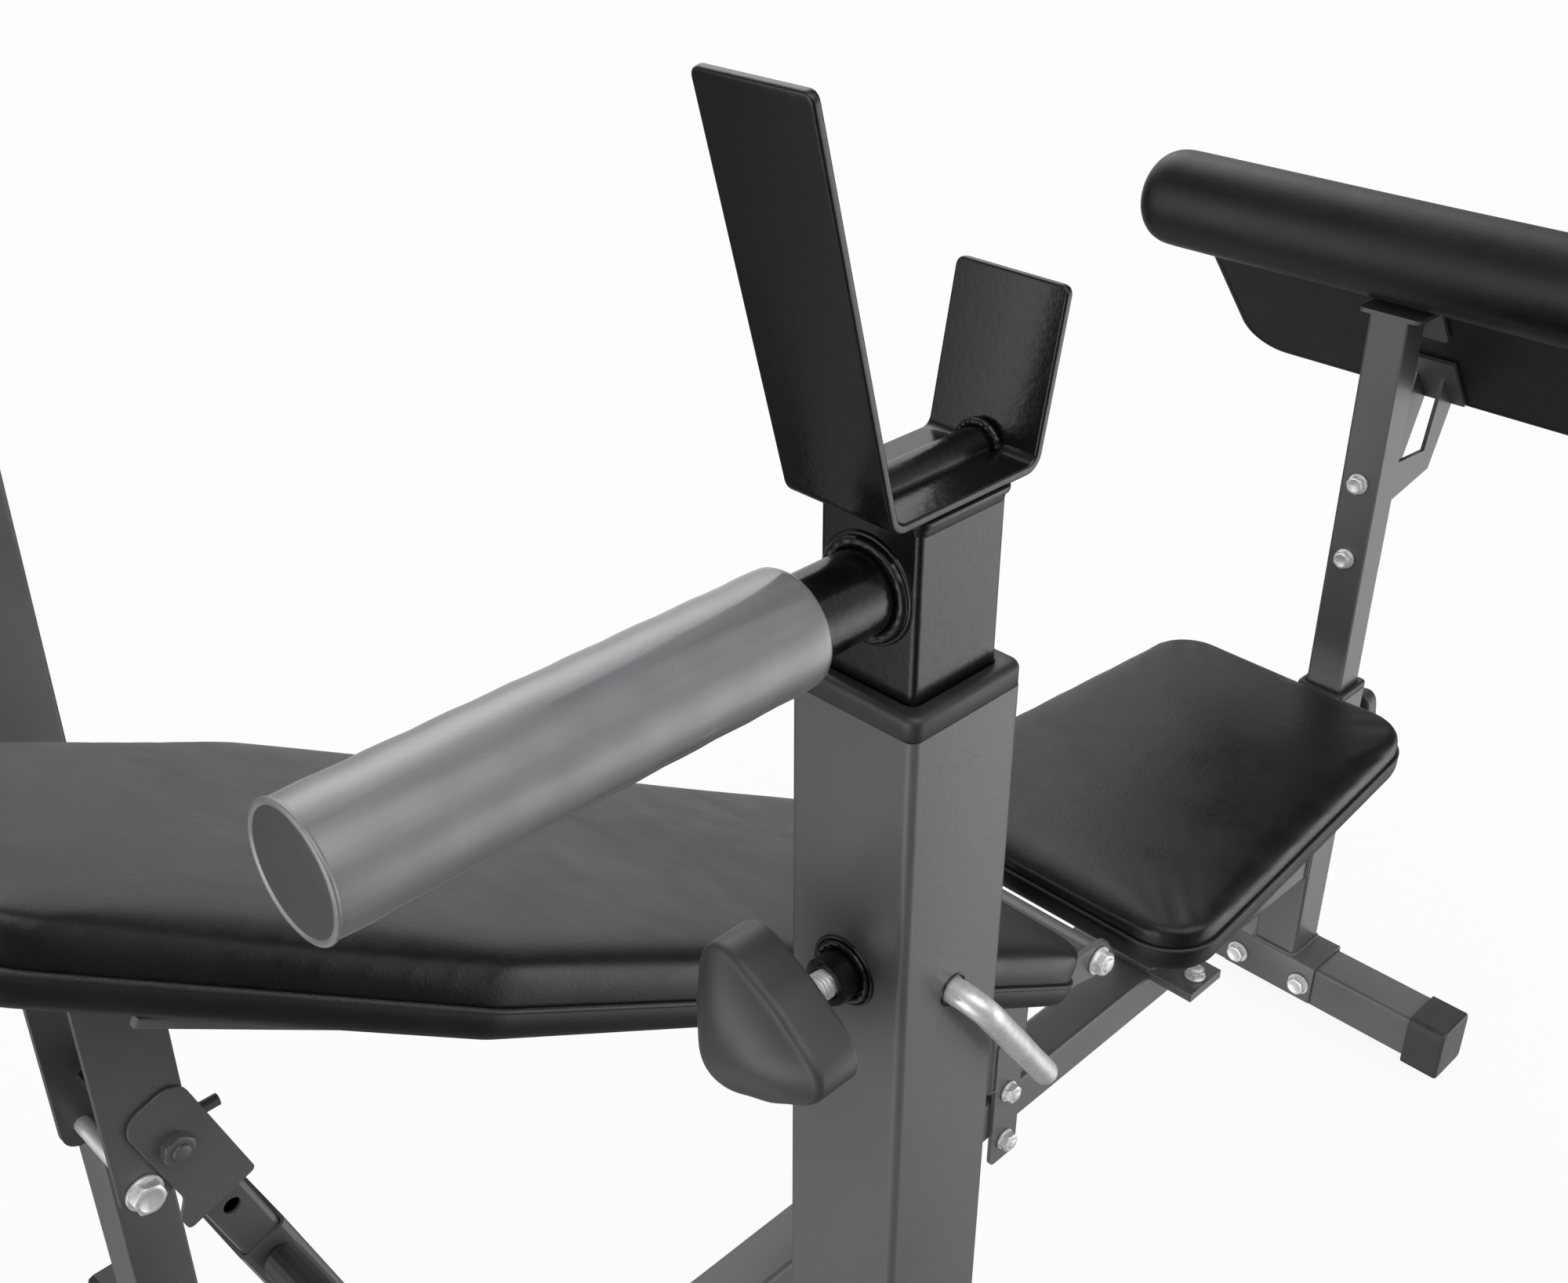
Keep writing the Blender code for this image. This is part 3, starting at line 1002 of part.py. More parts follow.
def build_backrest(steel, zinc, plastic, board_cover, vinyl):
    slope = slope_frame()
    hinge = joint_empty("backrest_axis", (0, HINGE_Y, HINGE_HEIGHT))
    under = PAD_TOP - BACKREST_THICKNESS
    bar_top = under - GAP
    bar_low = bar_top - ARM_BAR_HEIGHT

    arc = [(ARM_EYE * cos(radians(a)), ARM_EYE * sin(radians(a))) for a in range(60, 271, 30)]
    outline = arc + [(PAD_START, bar_low), (ARM_END, bar_low), (ARM_END, bar_top), (PAD_START, bar_top)]
    side_matrix = slope @ side_view()
    reach = ARM_SPACING
    for side_name, side in SIDES:
        low_x = side * ARM_SPACING / 2 - ARM_BAR / 2
        arm = prism(outline, low_x, low_x + ARM_BAR, side_matrix)
        hole = drill(HINGE_BOLT_RADIUS, (-reach, HINGE_Y, HINGE_HEIGHT), (reach, HINGE_Y, HINGE_HEIGHT))
        piece("backrest_arm_" + side_name, arm, steel, hinge, cuts=[hole])
    bolt_x = ARM_SPACING / 2 + ARM_BAR / 2 + GAP
    hinge_bolt = (HINGE_BOLT_RADIUS, *LARGE_BOLT[1:])
    ends = ((-bolt_x, HINGE_Y, HINGE_HEIGHT), (bolt_x, HINGE_Y, HINGE_HEIGHT))
    piece("hinge_bolt", bolt(hinge_bolt, *ends), zinc, hinge)

    cross_half = ARM_SPACING / 2 - ARM_BAR / 2 - GAP
    middle = bar_top - GAP - CROSS_TUBE / 2

    def cross_tube(along):
        tube = square_tube(CROSS_TUBE, CROSS_TUBE, CROSS_WALL, 2 * cross_half, INNER_CORNER)
        return placed(tube, slope @ frame((-cross_half, along, middle), X_AXIS, Y_AXIS))

    piece("backrest_cross_tube", cross_tube(LOWER_CROSS), steel, hinge)

    upper, lower = prop_points()
    inner = PROP_WIDTH / 2 + GAP
    outer = inner + HANGER_PLATE
    plates = []
    for _, side in SIDES:
        corners = []
        for y in (upper.y + HANGER_BACK, upper.y - HANGER_FRONT):
            height = HINGE_HEIGHT + (y - HINGE_Y) * tan(INCLINE) + (bar_top - GAP) / cos(INCLINE)
            corners.append((y, height))
        corners.append((upper.y - HANGER_FRONT, upper.z - HANGER_BELOW))
        corners.append((upper.y + HANGER_BACK, upper.z - HANGER_BELOW))
        outline = rounded_polygon(corners, (0, 0, HANGER_CORNER, HANGER_CORNER), 3)
        low_x, high_x = sorted((side * inner, side * outer))
        plates.append(prism(outline, low_x, high_x, side_view()))
    stop_y, stop_z = upper.y + STOP_BOLT[0], upper.z - STOP_BOLT[1]
    stop = bolt(SMALL_BOLT, (-outer + GAP, stop_y, stop_z), (outer - GAP, stop_y, stop_z))
    hole = drill(SMALL_BOLT[0], (-outer - WASHER, *upper.yz), (outer + WASHER, *upper.yz))
    plate_middle = upper.y + (HANGER_BACK - HANGER_FRONT) / 2
    along = (plate_middle - HINGE_Y + middle * sin(INCLINE)) / cos(INCLINE)
    bore_size = CROSS_TUBE - 2 * CROSS_WALL
    bore = prism(rectangle(bore_size, bore_size), -cross_half, cross_half,
                 slope @ frame((0, along, middle), X_AXIS, Y_AXIS))
    piece("prop_hanger", cross_tube(along), steel, hinge, joins=plates + [stop], cuts=[hole, bore])
    pivot_x = outer + GAP
    piece("prop_pivot_bolt", bolt(SMALL_BOLT, (-pivot_x, *upper.yz), (pivot_x, *upper.yz)), zinc, hinge)

    panel = backrest_outline(BOARD_INSET)
    board = prism(panel, under, under + BOARD_THICKNESS, slope)
    piece("backrest_board", board, board_cover, hinge)
    pad_low = under + BOARD_THICKNESS + GAP
    pad = cushion(backrest_outline(0), PAD_TOP - pad_low - CUSHION_CROWN, CUSHION_CROWN)
    piece("backrest_pad", placed(pad, slope @ Matrix.Translation((0, 0, pad_low))), vinyl, hinge)
    build_prop(steel, plastic, upper, lower)


def build_prop(steel, plastic, upper, lower):
    """Tube on the hanger and the sleeve that slides on it, pinned at one of its holes."""
    pivot = joint_empty("prop_axis", upper)
    down = (lower - upper).normalized()
    length = (lower - upper).length
    depth_axis = down.cross(X_AXIS)
    place = frame(upper, down, X_AXIS)
    half = PROP_WIDTH / 2
    reach = PROP_WIDTH

    def across(along):
        return upper + down * along - X_AXIS * reach, upper + down * along + X_AXIS * reach

    tube = square_tube(PROP_WIDTH, PROP_DEPTH, PROP_WALL, PROP_TUBE_END + PROP_TUBE_START, INNER_CORNER)
    tube = placed(tube, place @ Matrix.Translation((0, 0, -PROP_TUBE_START)))
    peg_root = upper + down * PEG_ALONG - depth_axis * (depth_axis.y * PROP_DEPTH / 4)
    peg = rod(PEG_RADIUS, peg_root, peg_root - Y_AXIS * PEG_REACH, 14)
    cuts = [drill(SMALL_BOLT[0], *across(0))]
    for step in PROP_HOLES:
        start = upper + down * (PROP_PIN_ALONG + step * PROP_PITCH)
        cuts.append(drill(PIN_RADIUS, start - X_AXIS * reach, start))
    piece("prop_tube", tube, steel, pivot, joins=[peg], cuts=cuts)

    sleeve_width = PROP_WIDTH + 2 * (GAP + SLEEVE_WALL)
    sleeve_depth = PROP_DEPTH + 2 * (GAP + SLEEVE_WALL)
    sleeve_length = length + PROP_EYE - PROP_SLEEVE_START
    sleeve = square_tube(sleeve_width, sleeve_depth, SLEEVE_WALL, sleeve_length, TUBE_CORNER)
    sleeve = placed(sleeve, place @ Matrix.Translation((0, 0, PROP_SLEEVE_START)))
    pin_at = upper + down * PROP_PIN_ALONG
    cuts = [drill(PIN_RADIUS, pin_at - X_AXIS * reach, pin_at)]
    lug_outer = sleeve_width / 2 + GAP + LUG_PLATE + GAP
    foot_bolt = bolt(LARGE_BOLT, lower - X_AXIS * lug_outer, lower + X_AXIS * lug_outer)
    piece("prop_sleeve", sleeve, steel, pivot, joins=[foot_bolt], cuts=cuts)

    face = sleeve_width / 2
    cap_start = face + PROP_CAP_START
    cap_end = cap_start + PROP_CAP_LENGTH
    tip = half + GAP
    edge = PROP_CAP_RADIUS * 0.15
    shank, full = circle(PIN_RADIUS), circle(PROP_CAP_RADIUS)
    layers = [(shank, tip), (shank, cap_start), (inset(full, edge), cap_start), (full, cap_start + edge),
              (full, cap_end - 2 * edge), (inset(full, edge), cap_end - edge / 2),
              (inset(full, 3 * edge), cap_end)]
    piece("prop_pin", placed(stack(layers), frame(pin_at, -X_AXIS, Z_AXIS)), plastic, pivot)


def main():
    for old in list(bpy.data.objects):
        bpy.data.objects.remove(old, do_unlink=True)
    steel = surface("powder_coated_steel", (0.030, 0.030, 0.032), 0.0, 0.42)
    zinc = surface("zinc_plated_steel", (0.66, 0.66, 0.68), 1.0, 0.30)
    plastic = surface("black_plastic", (0.018, 0.018, 0.019), 0.0, 0.40)
    knob_plastic = surface("matte_black_plastic", (0.022, 0.022, 0.023), 0.0, 0.62)
    grip = surface("grey_soft_grip", (0.16, 0.16, 0.17), 0.0, 0.45)
    board_cover = surface("black_board_cover", (0.016, 0.016, 0.017), 0.0, 0.60)
    vinyl = surface("black_vinyl", (0.012, 0.012, 0.013), 0.0, 0.38)
    build_base(steel, plastic, zinc)
    build_racks(steel, zinc, knob_plastic, grip)
    build_preacher(steel, zinc, knob_plastic, board_cover, vinyl)
    build_seat(steel, zinc, board_cover, vinyl)
    build_hinge_post(steel, zinc)
    build_lug(steel)
    build_backrest(steel, zinc, plastic, board_cover, vinyl)


main()
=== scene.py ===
from itertools import accumulate
from math import atan2, cos, exp, pi, radians, sin, sqrt, tan
import bmesh
import bpy
from mathutils import Matrix, Vector, noise


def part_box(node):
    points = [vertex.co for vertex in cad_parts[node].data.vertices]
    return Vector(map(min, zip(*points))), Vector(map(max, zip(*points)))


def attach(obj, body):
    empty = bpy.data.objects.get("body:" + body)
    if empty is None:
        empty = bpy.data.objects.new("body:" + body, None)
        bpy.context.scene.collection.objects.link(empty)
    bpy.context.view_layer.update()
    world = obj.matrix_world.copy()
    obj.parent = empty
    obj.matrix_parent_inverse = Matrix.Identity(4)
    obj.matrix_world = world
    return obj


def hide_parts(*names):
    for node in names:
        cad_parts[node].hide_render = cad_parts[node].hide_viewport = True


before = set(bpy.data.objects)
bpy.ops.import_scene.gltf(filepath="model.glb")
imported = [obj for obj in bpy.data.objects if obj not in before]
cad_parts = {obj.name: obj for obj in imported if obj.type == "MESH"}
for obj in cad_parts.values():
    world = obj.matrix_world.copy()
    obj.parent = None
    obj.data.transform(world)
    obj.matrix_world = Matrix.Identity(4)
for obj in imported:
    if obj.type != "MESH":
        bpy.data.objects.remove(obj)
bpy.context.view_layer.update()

# Incline bench with bar racks and a preacher pad: finishes, soft pads, threads, welds, light and camera.
# Everything is in metres in the frame of the solids: +Y runs to the racks, +Z up.

scene = bpy.context.scene
print("frame loaded:", len(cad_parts), "solids")

# Places and widths that several pieces share
postX, rearY, frontY, hingeY, hingeZ = 0.403, 0.5493, -0.5907, -0.0507, 0.412
postTop, sleeveTop, clampZ, frontClampZ, pinZ, stubZ = 1.062, 0.3877, 0.964, 0.330, 0.956, 1.102
outerWidth, innerWidth, incline = 0.050, 0.038, radians(30.4)
sides = (("left", -1), ("right", 1))
xAxis, yAxis, zAxis = Vector((1, 0, 0)), Vector((0, 1, 0)), Vector((0, 0, 1))


# Shader maths: a Wire stands for a socket, so that plain arithmetic makes Math nodes
class Wire:
    def __init__(self, paint, socket):
        self.paint = paint
        self.socket = socket

    def maths(self, kind, first, second):
        return self.paint.node("ShaderNodeMath", {"operation": kind}, {0: first, 1: second})

    def __add__(self, other):
        return self.maths("ADD", self, other)

    def __radd__(self, other):
        return self.maths("ADD", other, self)

    def __sub__(self, other):
        return self.maths("SUBTRACT", self, other)

    def __rsub__(self, other):
        return self.maths("SUBTRACT", other, self)

    def __mul__(self, other):
        return self.maths("MULTIPLY", self, other)

    def __rmul__(self, other):
        return self.maths("MULTIPLY", other, self)

    def __rpow__(self, other):
        return self.maths("POWER", other, self)


# One procedural material: its nodes come from node(), its fixed numbers are set on the shader's own sockets
class Paint:
    def __init__(self, name, dark=None, fixed=None, sky=False):
        self.material = bpy.data.worlds.new(name) if sky else bpy.data.materials.new(name)
        self.material.use_nodes = True
        self.tree = self.material.node_tree
        self.shader = self.tree.nodes["Background" if sky else "Principled BSDF"]
        for key, value in (fixed or {}).items():
            self.shader.inputs[key].default_value = value
        if dark:
            self.shader.inputs["Base Color"].default_value = self.material.diffuse_color = (*dark, 1)

    def feed(self, socket, value):
        if isinstance(value, Wire):
            self.tree.links.new(value.socket, socket)
        else:
            socket.default_value = value

    def node(self, kind, settings=None, inputs=None, out=0):
        made = self.tree.nodes.new(kind)
        for key, value in (settings or {}).items():
            setattr(made, key, value)
        for key, value in (inputs or {}).items():
            self.feed(made.inputs[key], value)
        return Wire(self, made.outputs[out])

    def spot(self):
        return self.node("ShaderNodeTexCoord", out="Object")

    def clouds(self, scale, detail=2.0, rough=0.5, spot=None, stretch=None):
        where = spot or self.spot()
        if stretch:
            where = self.node("ShaderNodeMapping", {}, {"Vector": where, "Scale": stretch})
        inputs = {"Vector": where, "Scale": scale, "Detail": detail, "Roughness": rough}
        return self.node("ShaderNodeTexNoise", {}, inputs)

    def cells(self, scale, feature="F1", spot=None):
        return self.node("ShaderNodeTexVoronoi", {"feature": feature}, {"Vector": spot or self.spot(), "Scale": scale})

    def ramp(self, wire, low, high, bottom=0.0, top=1.0):
        return self.node("ShaderNodeMapRange", {}, {0: wire, 1: low, 2: high, 3: bottom, 4: top})

    def tint(self, factor, first, second):
        first, second = (shade if isinstance(shade, Wire) else (*shade, 1) for shade in (first, second))
        return self.node("ShaderNodeMix", {"data_type": "RGBA"}, {"Factor": factor, 6: first, 7: second}, 2)

    def bump(self, height, strength, depth, under=None):
        inputs = {"Height": height, "Strength": strength, "Distance": depth}
        if under:
            inputs["Normal"] = under
        return self.node("ShaderNodeBump", {}, inputs)

    def finish(self, colour, rough, normal):
        for key, wire in (("Base Color", colour), ("Roughness", rough), ("Normal", normal)):
            self.feed(self.shader.inputs[key], wire)
        return self.material


def powderCoat(name, dark, light, dust, base, gloss):
    fixed = {"Specular IOR Level": gloss, "Coat Weight": 0.12, "Coat Roughness": 0.12}
    paint = Paint(name, dark, fixed)
    peel = paint.clouds(430, 2.5, 0.55)
    drift = paint.clouds(9, 3)
    grains = paint.ramp(paint.cells(1900), 0.0, 0.22)
    height = peel + drift * 0.35
    rough = paint.ramp(peel * 0.5 + drift * 0.5, 0.3, 0.7, base - 0.05, base + 0.07)
    colour = paint.tint(paint.ramp(drift, 0.35, 0.7), dark, light)
    dusty = paint.tint((1 - grains) * 0.05, colour, dust)
    return paint.finish(dusty, rough, paint.bump(height, 0.36, 0.00026))


def capPlastic(name, dark, light, base):
    paint = Paint(name, dark)
    grain = paint.clouds(2100, 2, 0.6)
    scuff = paint.clouds(38, 4, 0.65)
    colour = paint.tint(paint.ramp(scuff, 0.42, 0.72), dark, light)
    rough = paint.ramp(scuff, 0.3, 0.75, base - 0.05, base + 0.12)
    return paint.finish(colour, rough, paint.bump(grain, 0.14, 0.0001))


def knobPlastic(name, dark, light, base):
    paint = Paint(name, dark)
    grain = paint.clouds(3400, 2, 0.6)
    flow = paint.clouds(55, 3)
    colour = paint.tint(paint.ramp(flow, 0.35, 0.7), dark, light)
    rough = paint.ramp(grain * 0.6 + flow * 0.4, 0.3, 0.7, base - 0.05, base + 0.06)
    return paint.finish(colour, rough, paint.bump(grain, 0.22, 0.00008))


def zincPlate(name, pale, dull, base):
    paint = Paint(name, pale, {"Metallic": 0.45})
    haze = paint.clouds(160, 4, 0.6)
    scratch = paint.clouds(900, stretch=(1.0, 0.12, 1.0))
    colour = paint.tint(paint.ramp(haze, 0.38, 0.68), pale, dull)
    rough = paint.ramp(haze * 0.7 + scratch * 0.3, 0.3, 0.7, base - 0.06, base + 0.14)
    return paint.finish(colour, rough, paint.bump(scratch, 0.08, 0.00006))


def dippedZinc(name, pale, dull, base):
    paint = Paint(name, pale, {"Metallic": 0.45})
    blotch = paint.clouds(210, 4, 0.62)
    lump = paint.clouds(120)
    spangle = paint.cells(420)
    colour = paint.tint(paint.ramp(blotch * 0.75 + spangle * 0.25, 0.34, 0.60), dull, pale)
    rough = paint.ramp(blotch, 0.35, 0.65, base + 0.12, base - 0.08)
    fine = paint.bump(blotch, 0.12, 0.0002)
    return paint.finish(colour, rough, paint.bump(lump, 0.40, 0.0008, fine))


def softGrip(name, dark, light, pit, base):
    paint = Paint(name, dark, {"Specular IOR Level": 0.75, "Coat Weight": 0.60, "Coat Roughness": 0.10})
    along = paint.clouds(240, 3, 0.55, stretch=(1.0, 0.06, 1.0))
    wave = paint.clouds(46, stretch=(1.0, 0.35, 1.0))
    pits = paint.ramp(paint.cells(130), 0.0, 0.055)
    colour = paint.tint(paint.ramp(along * 0.5 + wave * 0.5, 0.36, 0.66), dark, light)
    flecked = paint.tint((1 - pits) * 0.55, colour, pit)
    rough = paint.ramp(along, 0.3, 0.7, base - 0.05, base + 0.08)
    fine = paint.bump(along * 0.4 + pits * 0.6, 0.18, 0.0003)
    return paint.finish(flecked, rough, paint.bump(wave, 0.28, 0.0012, fine))


def vinyl(name, dark, light, base, gloss):
    paint = Paint(name, dark, {"Specular IOR Level": gloss, "Sheen Weight": 0.04, "Sheen Roughness": 0.5})
    spot = paint.spot()
    warp = paint.clouds(180, spot=spot)
    bent = paint.node("ShaderNodeMix", {"data_type": "VECTOR"}, {"Factor": 0.004, 4: spot, 5: warp}, 1)
    pebble = paint.cells(520, "SMOOTH_F1", bent)
    pores = paint.clouds(1500, 2, 0.6)
    crease = paint.clouds(26, 4, 0.62)
    broad = paint.clouds(5.5)
    height = pebble * 0.8 + pores * 0.2
    colour = paint.tint(paint.ramp(crease * 0.6 + pebble * 0.4, 0.3, 0.72), dark, light)
    rough = paint.ramp(crease * 0.5 + broad * 0.5, 0.34, 0.66, base - 0.06, base + 0.10)
    fine = paint.bump(height, 0.34, 0.00028)
    return paint.finish(colour, rough, paint.bump(crease, 0.16, 0.0016, fine))


def cord(name, dark, light):
    paint = Paint(name, dark)
    weave = paint.clouds(1300)
    colour = paint.tint(paint.ramp(weave, 0.35, 0.7), dark, light)
    rough = paint.ramp(weave, 0.3, 0.7, 0.36, 0.52)
    return paint.finish(colour, rough, paint.bump(weave, 0.3, 0.0002))


finishes = {
    "steel": powderCoat("powderCoat", (0.0045, 0.0045, 0.005), (0.0070, 0.0070, 0.0075), (0.018, 0.018, 0.019),
                        0.22, 0.52),
    "satin": powderCoat("satinCoat", (0.098, 0.098, 0.104), (0.120, 0.120, 0.127), (0.18, 0.18, 0.19), 0.32, 0.60),
    "cap": capPlastic("capPlastic", (0.026, 0.026, 0.0275), (0.038, 0.038, 0.040), 0.38),
    "knob": knobPlastic("knobPlastic", (0.044, 0.044, 0.047), (0.056, 0.056, 0.060), 0.38),
    "zinc": zincPlate("zincPlate", (0.95, 0.95, 0.96), (0.84, 0.83, 0.81), 0.24),
    "dipped": dippedZinc("dippedZinc", (0.93, 0.93, 0.95), (0.74, 0.74, 0.76), 0.22),
    "grip": softGrip("softGrip", (0.205, 0.205, 0.219), (0.262, 0.260, 0.277), (0.05, 0.05, 0.055), 0.17),
    "piping": cord("pipingCord", (0.020, 0.020, 0.021), (0.050, 0.050, 0.052)),
    # darker plastic for the grip ends: painted shade on the end faces that turn away from the light
    "gripShadedEnd": capPlastic("gripShadedEnd", (0.062, 0.060, 0.064), (0.074, 0.071, 0.076), 0.50),
    "vinyl": vinyl("padVinyl", (0.0040, 0.0040, 0.0043), (0.0075, 0.0075, 0.008), 0.33, 0.42),
    "under": vinyl("boardVinyl", (0.0055, 0.0055, 0.0059), (0.0095, 0.0095, 0.010), 0.44, 0.36),
}
print("finishes ready:", len(finishes))


def angles(sweep, steps, first=0):
    return [first + sweep * step / steps for step in range(steps + 1)]


# Outlines and lofts
def circle(radius, count=48):
    return [(radius * cos(2 * pi * i / count), radius * sin(2 * pi * i / count)) for i in range(count)]


def circleAt(radius, height, count):
    return [(x, y, height) for x, y in circle(radius, count)]


def bend(before, here, after, radius, steps):
    # arc that rounds the corner at here
    back, ahead = (before - here).normalized(), (after - here).normalized()
    half = back.angle(ahead) / 2
    middle = here + (back + ahead).normalized() * (radius / sin(half))
    start = here + back * (radius / tan(half)) - middle
    end = here + ahead * (radius / tan(half)) - middle
    first = atan2(start.y, start.x)
    sweep = (atan2(end.y, end.x) - first + pi) % (2 * pi) - pi
    turns = angles(sweep, steps, first)
    return [Vector((middle.x + radius * cos(turn), middle.y + radius * sin(turn))) for turn in turns]


def roundedPolygon(corners, radii, steps=6):
    spots = [Vector(corner) for corner in corners]
    sizes = radii if isinstance(radii, list) else [radii] * len(spots)
    points = []
    for before, here, after, radius in zip(spots[-1:] + spots, spots, spots[1:] + spots[:1], sizes):
        points += [tuple(spot) for spot in bend(before, here, after, radius, steps)]
    return points


def rectangle(wide, high, radius, steps):
    return roundedPolygon([(wide, high), (-wide, high), (-wide, -high), (wide, -high)], radius, steps)


def squareOutline(width, radius, steps=6):
    return rectangle(width / 2, width / 2, radius, steps)


def evened(outline, spacing):
    # extra points on long straight sides, so that lofts have even faces
    points = []
    for index, point in enumerate(outline):
        here, after = Vector(point), Vector(outline[(index + 1) % len(outline)])
        pieces = max(1, round((after - here).length / spacing))
        points += [tuple(here.lerp(after, step / pieces)) for step in range(pieces)]
    return points


def inset(outline, distance):
    moved = []
    for index, point in enumerate(outline):
        here = Vector(point)
        before = (here - Vector(outline[index - 1])).normalized()
        after = (Vector(outline[(index + 1) % len(outline)]) - here).normalized()
        inward = Vector((-before.y - after.y, before.x + after.x)).normalized()
        moved.append(tuple(here + inward * distance / max(inward.dot((-before.y, before.x)), 0.5)))
    return moved


def axesAt(origin, first, second, third):
    return Matrix((*zip(first, second, third, origin), (0, 0, 0, 1)))


def frameOf(origin, forward, side):
    forward, side = Vector(forward).normalized(), Vector(side).normalized()
    return axesAt(origin, side, forward.cross(side), forward)


def quads(mesh, lower, upper):
    for index, corner in enumerate(lower):
        after = (index + 1) % len(lower)
        mesh.faces.new((corner, lower[after], upper[after], upper[index]))


def loft(rings, wrap=False):
    mesh = bmesh.new()
    rows = [[mesh.verts.new(point) for point in ring] for ring in rings]
    for lower, upper in zip(rows, rows[1:] + rows[:1] if wrap else rows[1:]):
        quads(mesh, lower, upper)
    if not wrap:
        mesh.faces.new(list(reversed(rows[0])))
        mesh.faces.new(rows[-1])
    bmesh.ops.recalc_face_normals(mesh, faces=mesh.faces)
    return mesh


def stack(layers, wrap=False):
    return loft([[(x, y, height) for x, y in outline] for outline, height in layers], wrap)


def slab(outline, near, far, soft):
    small = inset(outline, soft)
    return stack([(small, near), (outline, near + soft), (outline, far - soft), (small, far)])


def merged(meshes):
    whole = bmesh.new()
    for mesh in meshes:
        mesh.verts.index_update()
        copies = [whole.verts.new(vert.co) for vert in mesh.verts]
        for face in mesh.faces:
            whole.faces.new([copies[vert.index] for vert in face.verts])
        mesh.free()
    return whole


def placed(mesh, matrix):
    bmesh.ops.transform(mesh, matrix=matrix, verts=mesh.verts)
    if matrix.determinant() < 0:
        bmesh.ops.reverse_faces(mesh, faces=mesh.faces)
    return mesh


def movedTo(mesh, x, y, z=0):
    return placed(mesh, Matrix.Translation((x, y, z)))


def tubeAlong(path, radii, count=16, closed=True):
    # round tube through points in space; radii is one number or one for each point
    path = [Vector(point) for point in path]
    sizes = radii if isinstance(radii, list) else [radii] * len(path)
    total = len(path)
    side = None
    rings = []
    for index, point in enumerate(path):
        ahead = path[(index + 1) % total] if closed else path[min(index + 1, total - 1)]
        behind = path[index - 1] if closed else path[max(index - 1, 0)]
        tangent = (ahead - behind).normalized()
        side = side or tangent.orthogonal().normalized()
        side = (side - side.project(tangent)).normalized()
        up = tangent.cross(side)
        rings.append([point + side * (x * sizes[index]) + up * (y * sizes[index]) for x, y in circle(1, count)])
    return loft(rings, wrap=closed)


def weldRing(major, minor, height, count, waves, wave, rough, seed):
    radii = []
    for index, (x, y) in enumerate(circle(2, count)):
        swell = 1 + wave * sin(2 * pi * waves * index / count) + rough * noise.noise((x, y, seed))
        radii.append(minor * swell)
    return tubeAlong(circleAt(major, height, count), radii, 14)


def holeRim(x, y, z, radius, thick, count):
    return tubeAlong([(x, y + across, z + up) for across, up in circle(radius, count)], thick, 8)


def written(mesh, data):
    mesh.to_mesh(data)
    mesh.free()
    return data


def linked(name, data):
    made = bpy.data.objects.new(name, data)
    scene.collection.objects.link(made)
    return made


def addPiece(name, mesh, finish, body, nodes=(), sharp=40):
    data = written(mesh, bpy.data.meshes.new(name))
    made = linked(name, data)
    data.materials.append(finishes[finish])
    data.shade_smooth()
    data.set_sharp_from_angle(angle=radians(sharp))
    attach(made, body)
    if nodes:
        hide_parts(*nodes)


# Carried-over solids get their finish by a word in their names; the rest is satin steel
words = {"pad": "vinyl", "board": "under", "grip": "grip", "knob": "knob", "cap_": "cap", "collar": "cap",
         "prop_pin": "cap", "bolt": "zinc", "screw": "zinc", "rack_pin": "zinc", "rack_tube": "steel",
         "saddle": "steel", "stub": "steel"}
for name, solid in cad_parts.items():
    solid.data.materials.clear()
    solid.data.materials.append(finishes[next((words[word] for word in words if word in name), "satin")])
print("solids dressed:", len(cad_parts))


# Clamp knobs, their screws and the weld beads of their bushes
def turned(profile, count=48):
    return stack([(circle(radius, count), height) for radius, height in profile])


def threaded(heights, pitch, lift, radiusAt):
    rings = []
    for height in heights:
        ring = []
        for turn in (index / 36 for index in range(36)):
            radius = radiusAt(height, abs((height / pitch - turn) % 1 - 0.5) * 2)
            ring.append((radius * cos(2 * pi * turn), radius * sin(2 * pi * turn), height + lift))
        rings.append(ring)
    return loft(rings)


def knobShape(offset, knob):
    points = []
    for x, y in circle(1, knob["points"]):
        turn = 3 * (atan2(y, x) - knob["turn"])
        radius = knob["radius"] + knob["lobe"] * cos(turn) + knob["ripple"] * cos(2 * turn) - offset
        points.append((radius * x, radius * y))
    return points


def makeKnob(end, node, origin, direction):
    knob = {"radius": 0.0268, "lobe": 0.0042, "ripple": 0.0009, "turn": radians(57), "points": 120, "start": 0.051,
            "rim": 0.0190, "dome": 0.0096, "back": 0.0022, "front": 0.0034, "bore": 0.0054, "rings": 22}
    back, front, points = knob["back"], knob["front"], knob["points"]
    layers = [(circle(knob["bore"], points), height) for height in (0.006, 0)]
    for angle in angles(pi / 2, 5):
        layers.append((knobShape(back * (1 - sin(angle)), knob), back * (1 - cos(angle))))
    for angle in angles(radians(68), 7):
        layers.append((knobShape(front * (1 - cos(angle)), knob), knob["rim"] + front * (sin(angle) - 1)))
    last, height = layers[-1]
    for step in range(1, knob["rings"]):
        # the lobes fade into a round crown
        share = 1 - step / knob["rings"]
        fade = share ** 0.25
        ring = []
        for x, y in last:
            size = share * (fade + knob["radius"] * (1 - fade) / sqrt(x * x + y * y))
            ring.append((x * size, y * size))
        layers.append((ring, height + knob["dome"] * (1 - share ** 2.1)))
    matrix = frameOf(origin + direction * knob["start"], direction, xAxis * direction.y)
    addPiece("knob_" + end, placed(stack(layers), matrix), "knob", node + "_body", [node], 50)


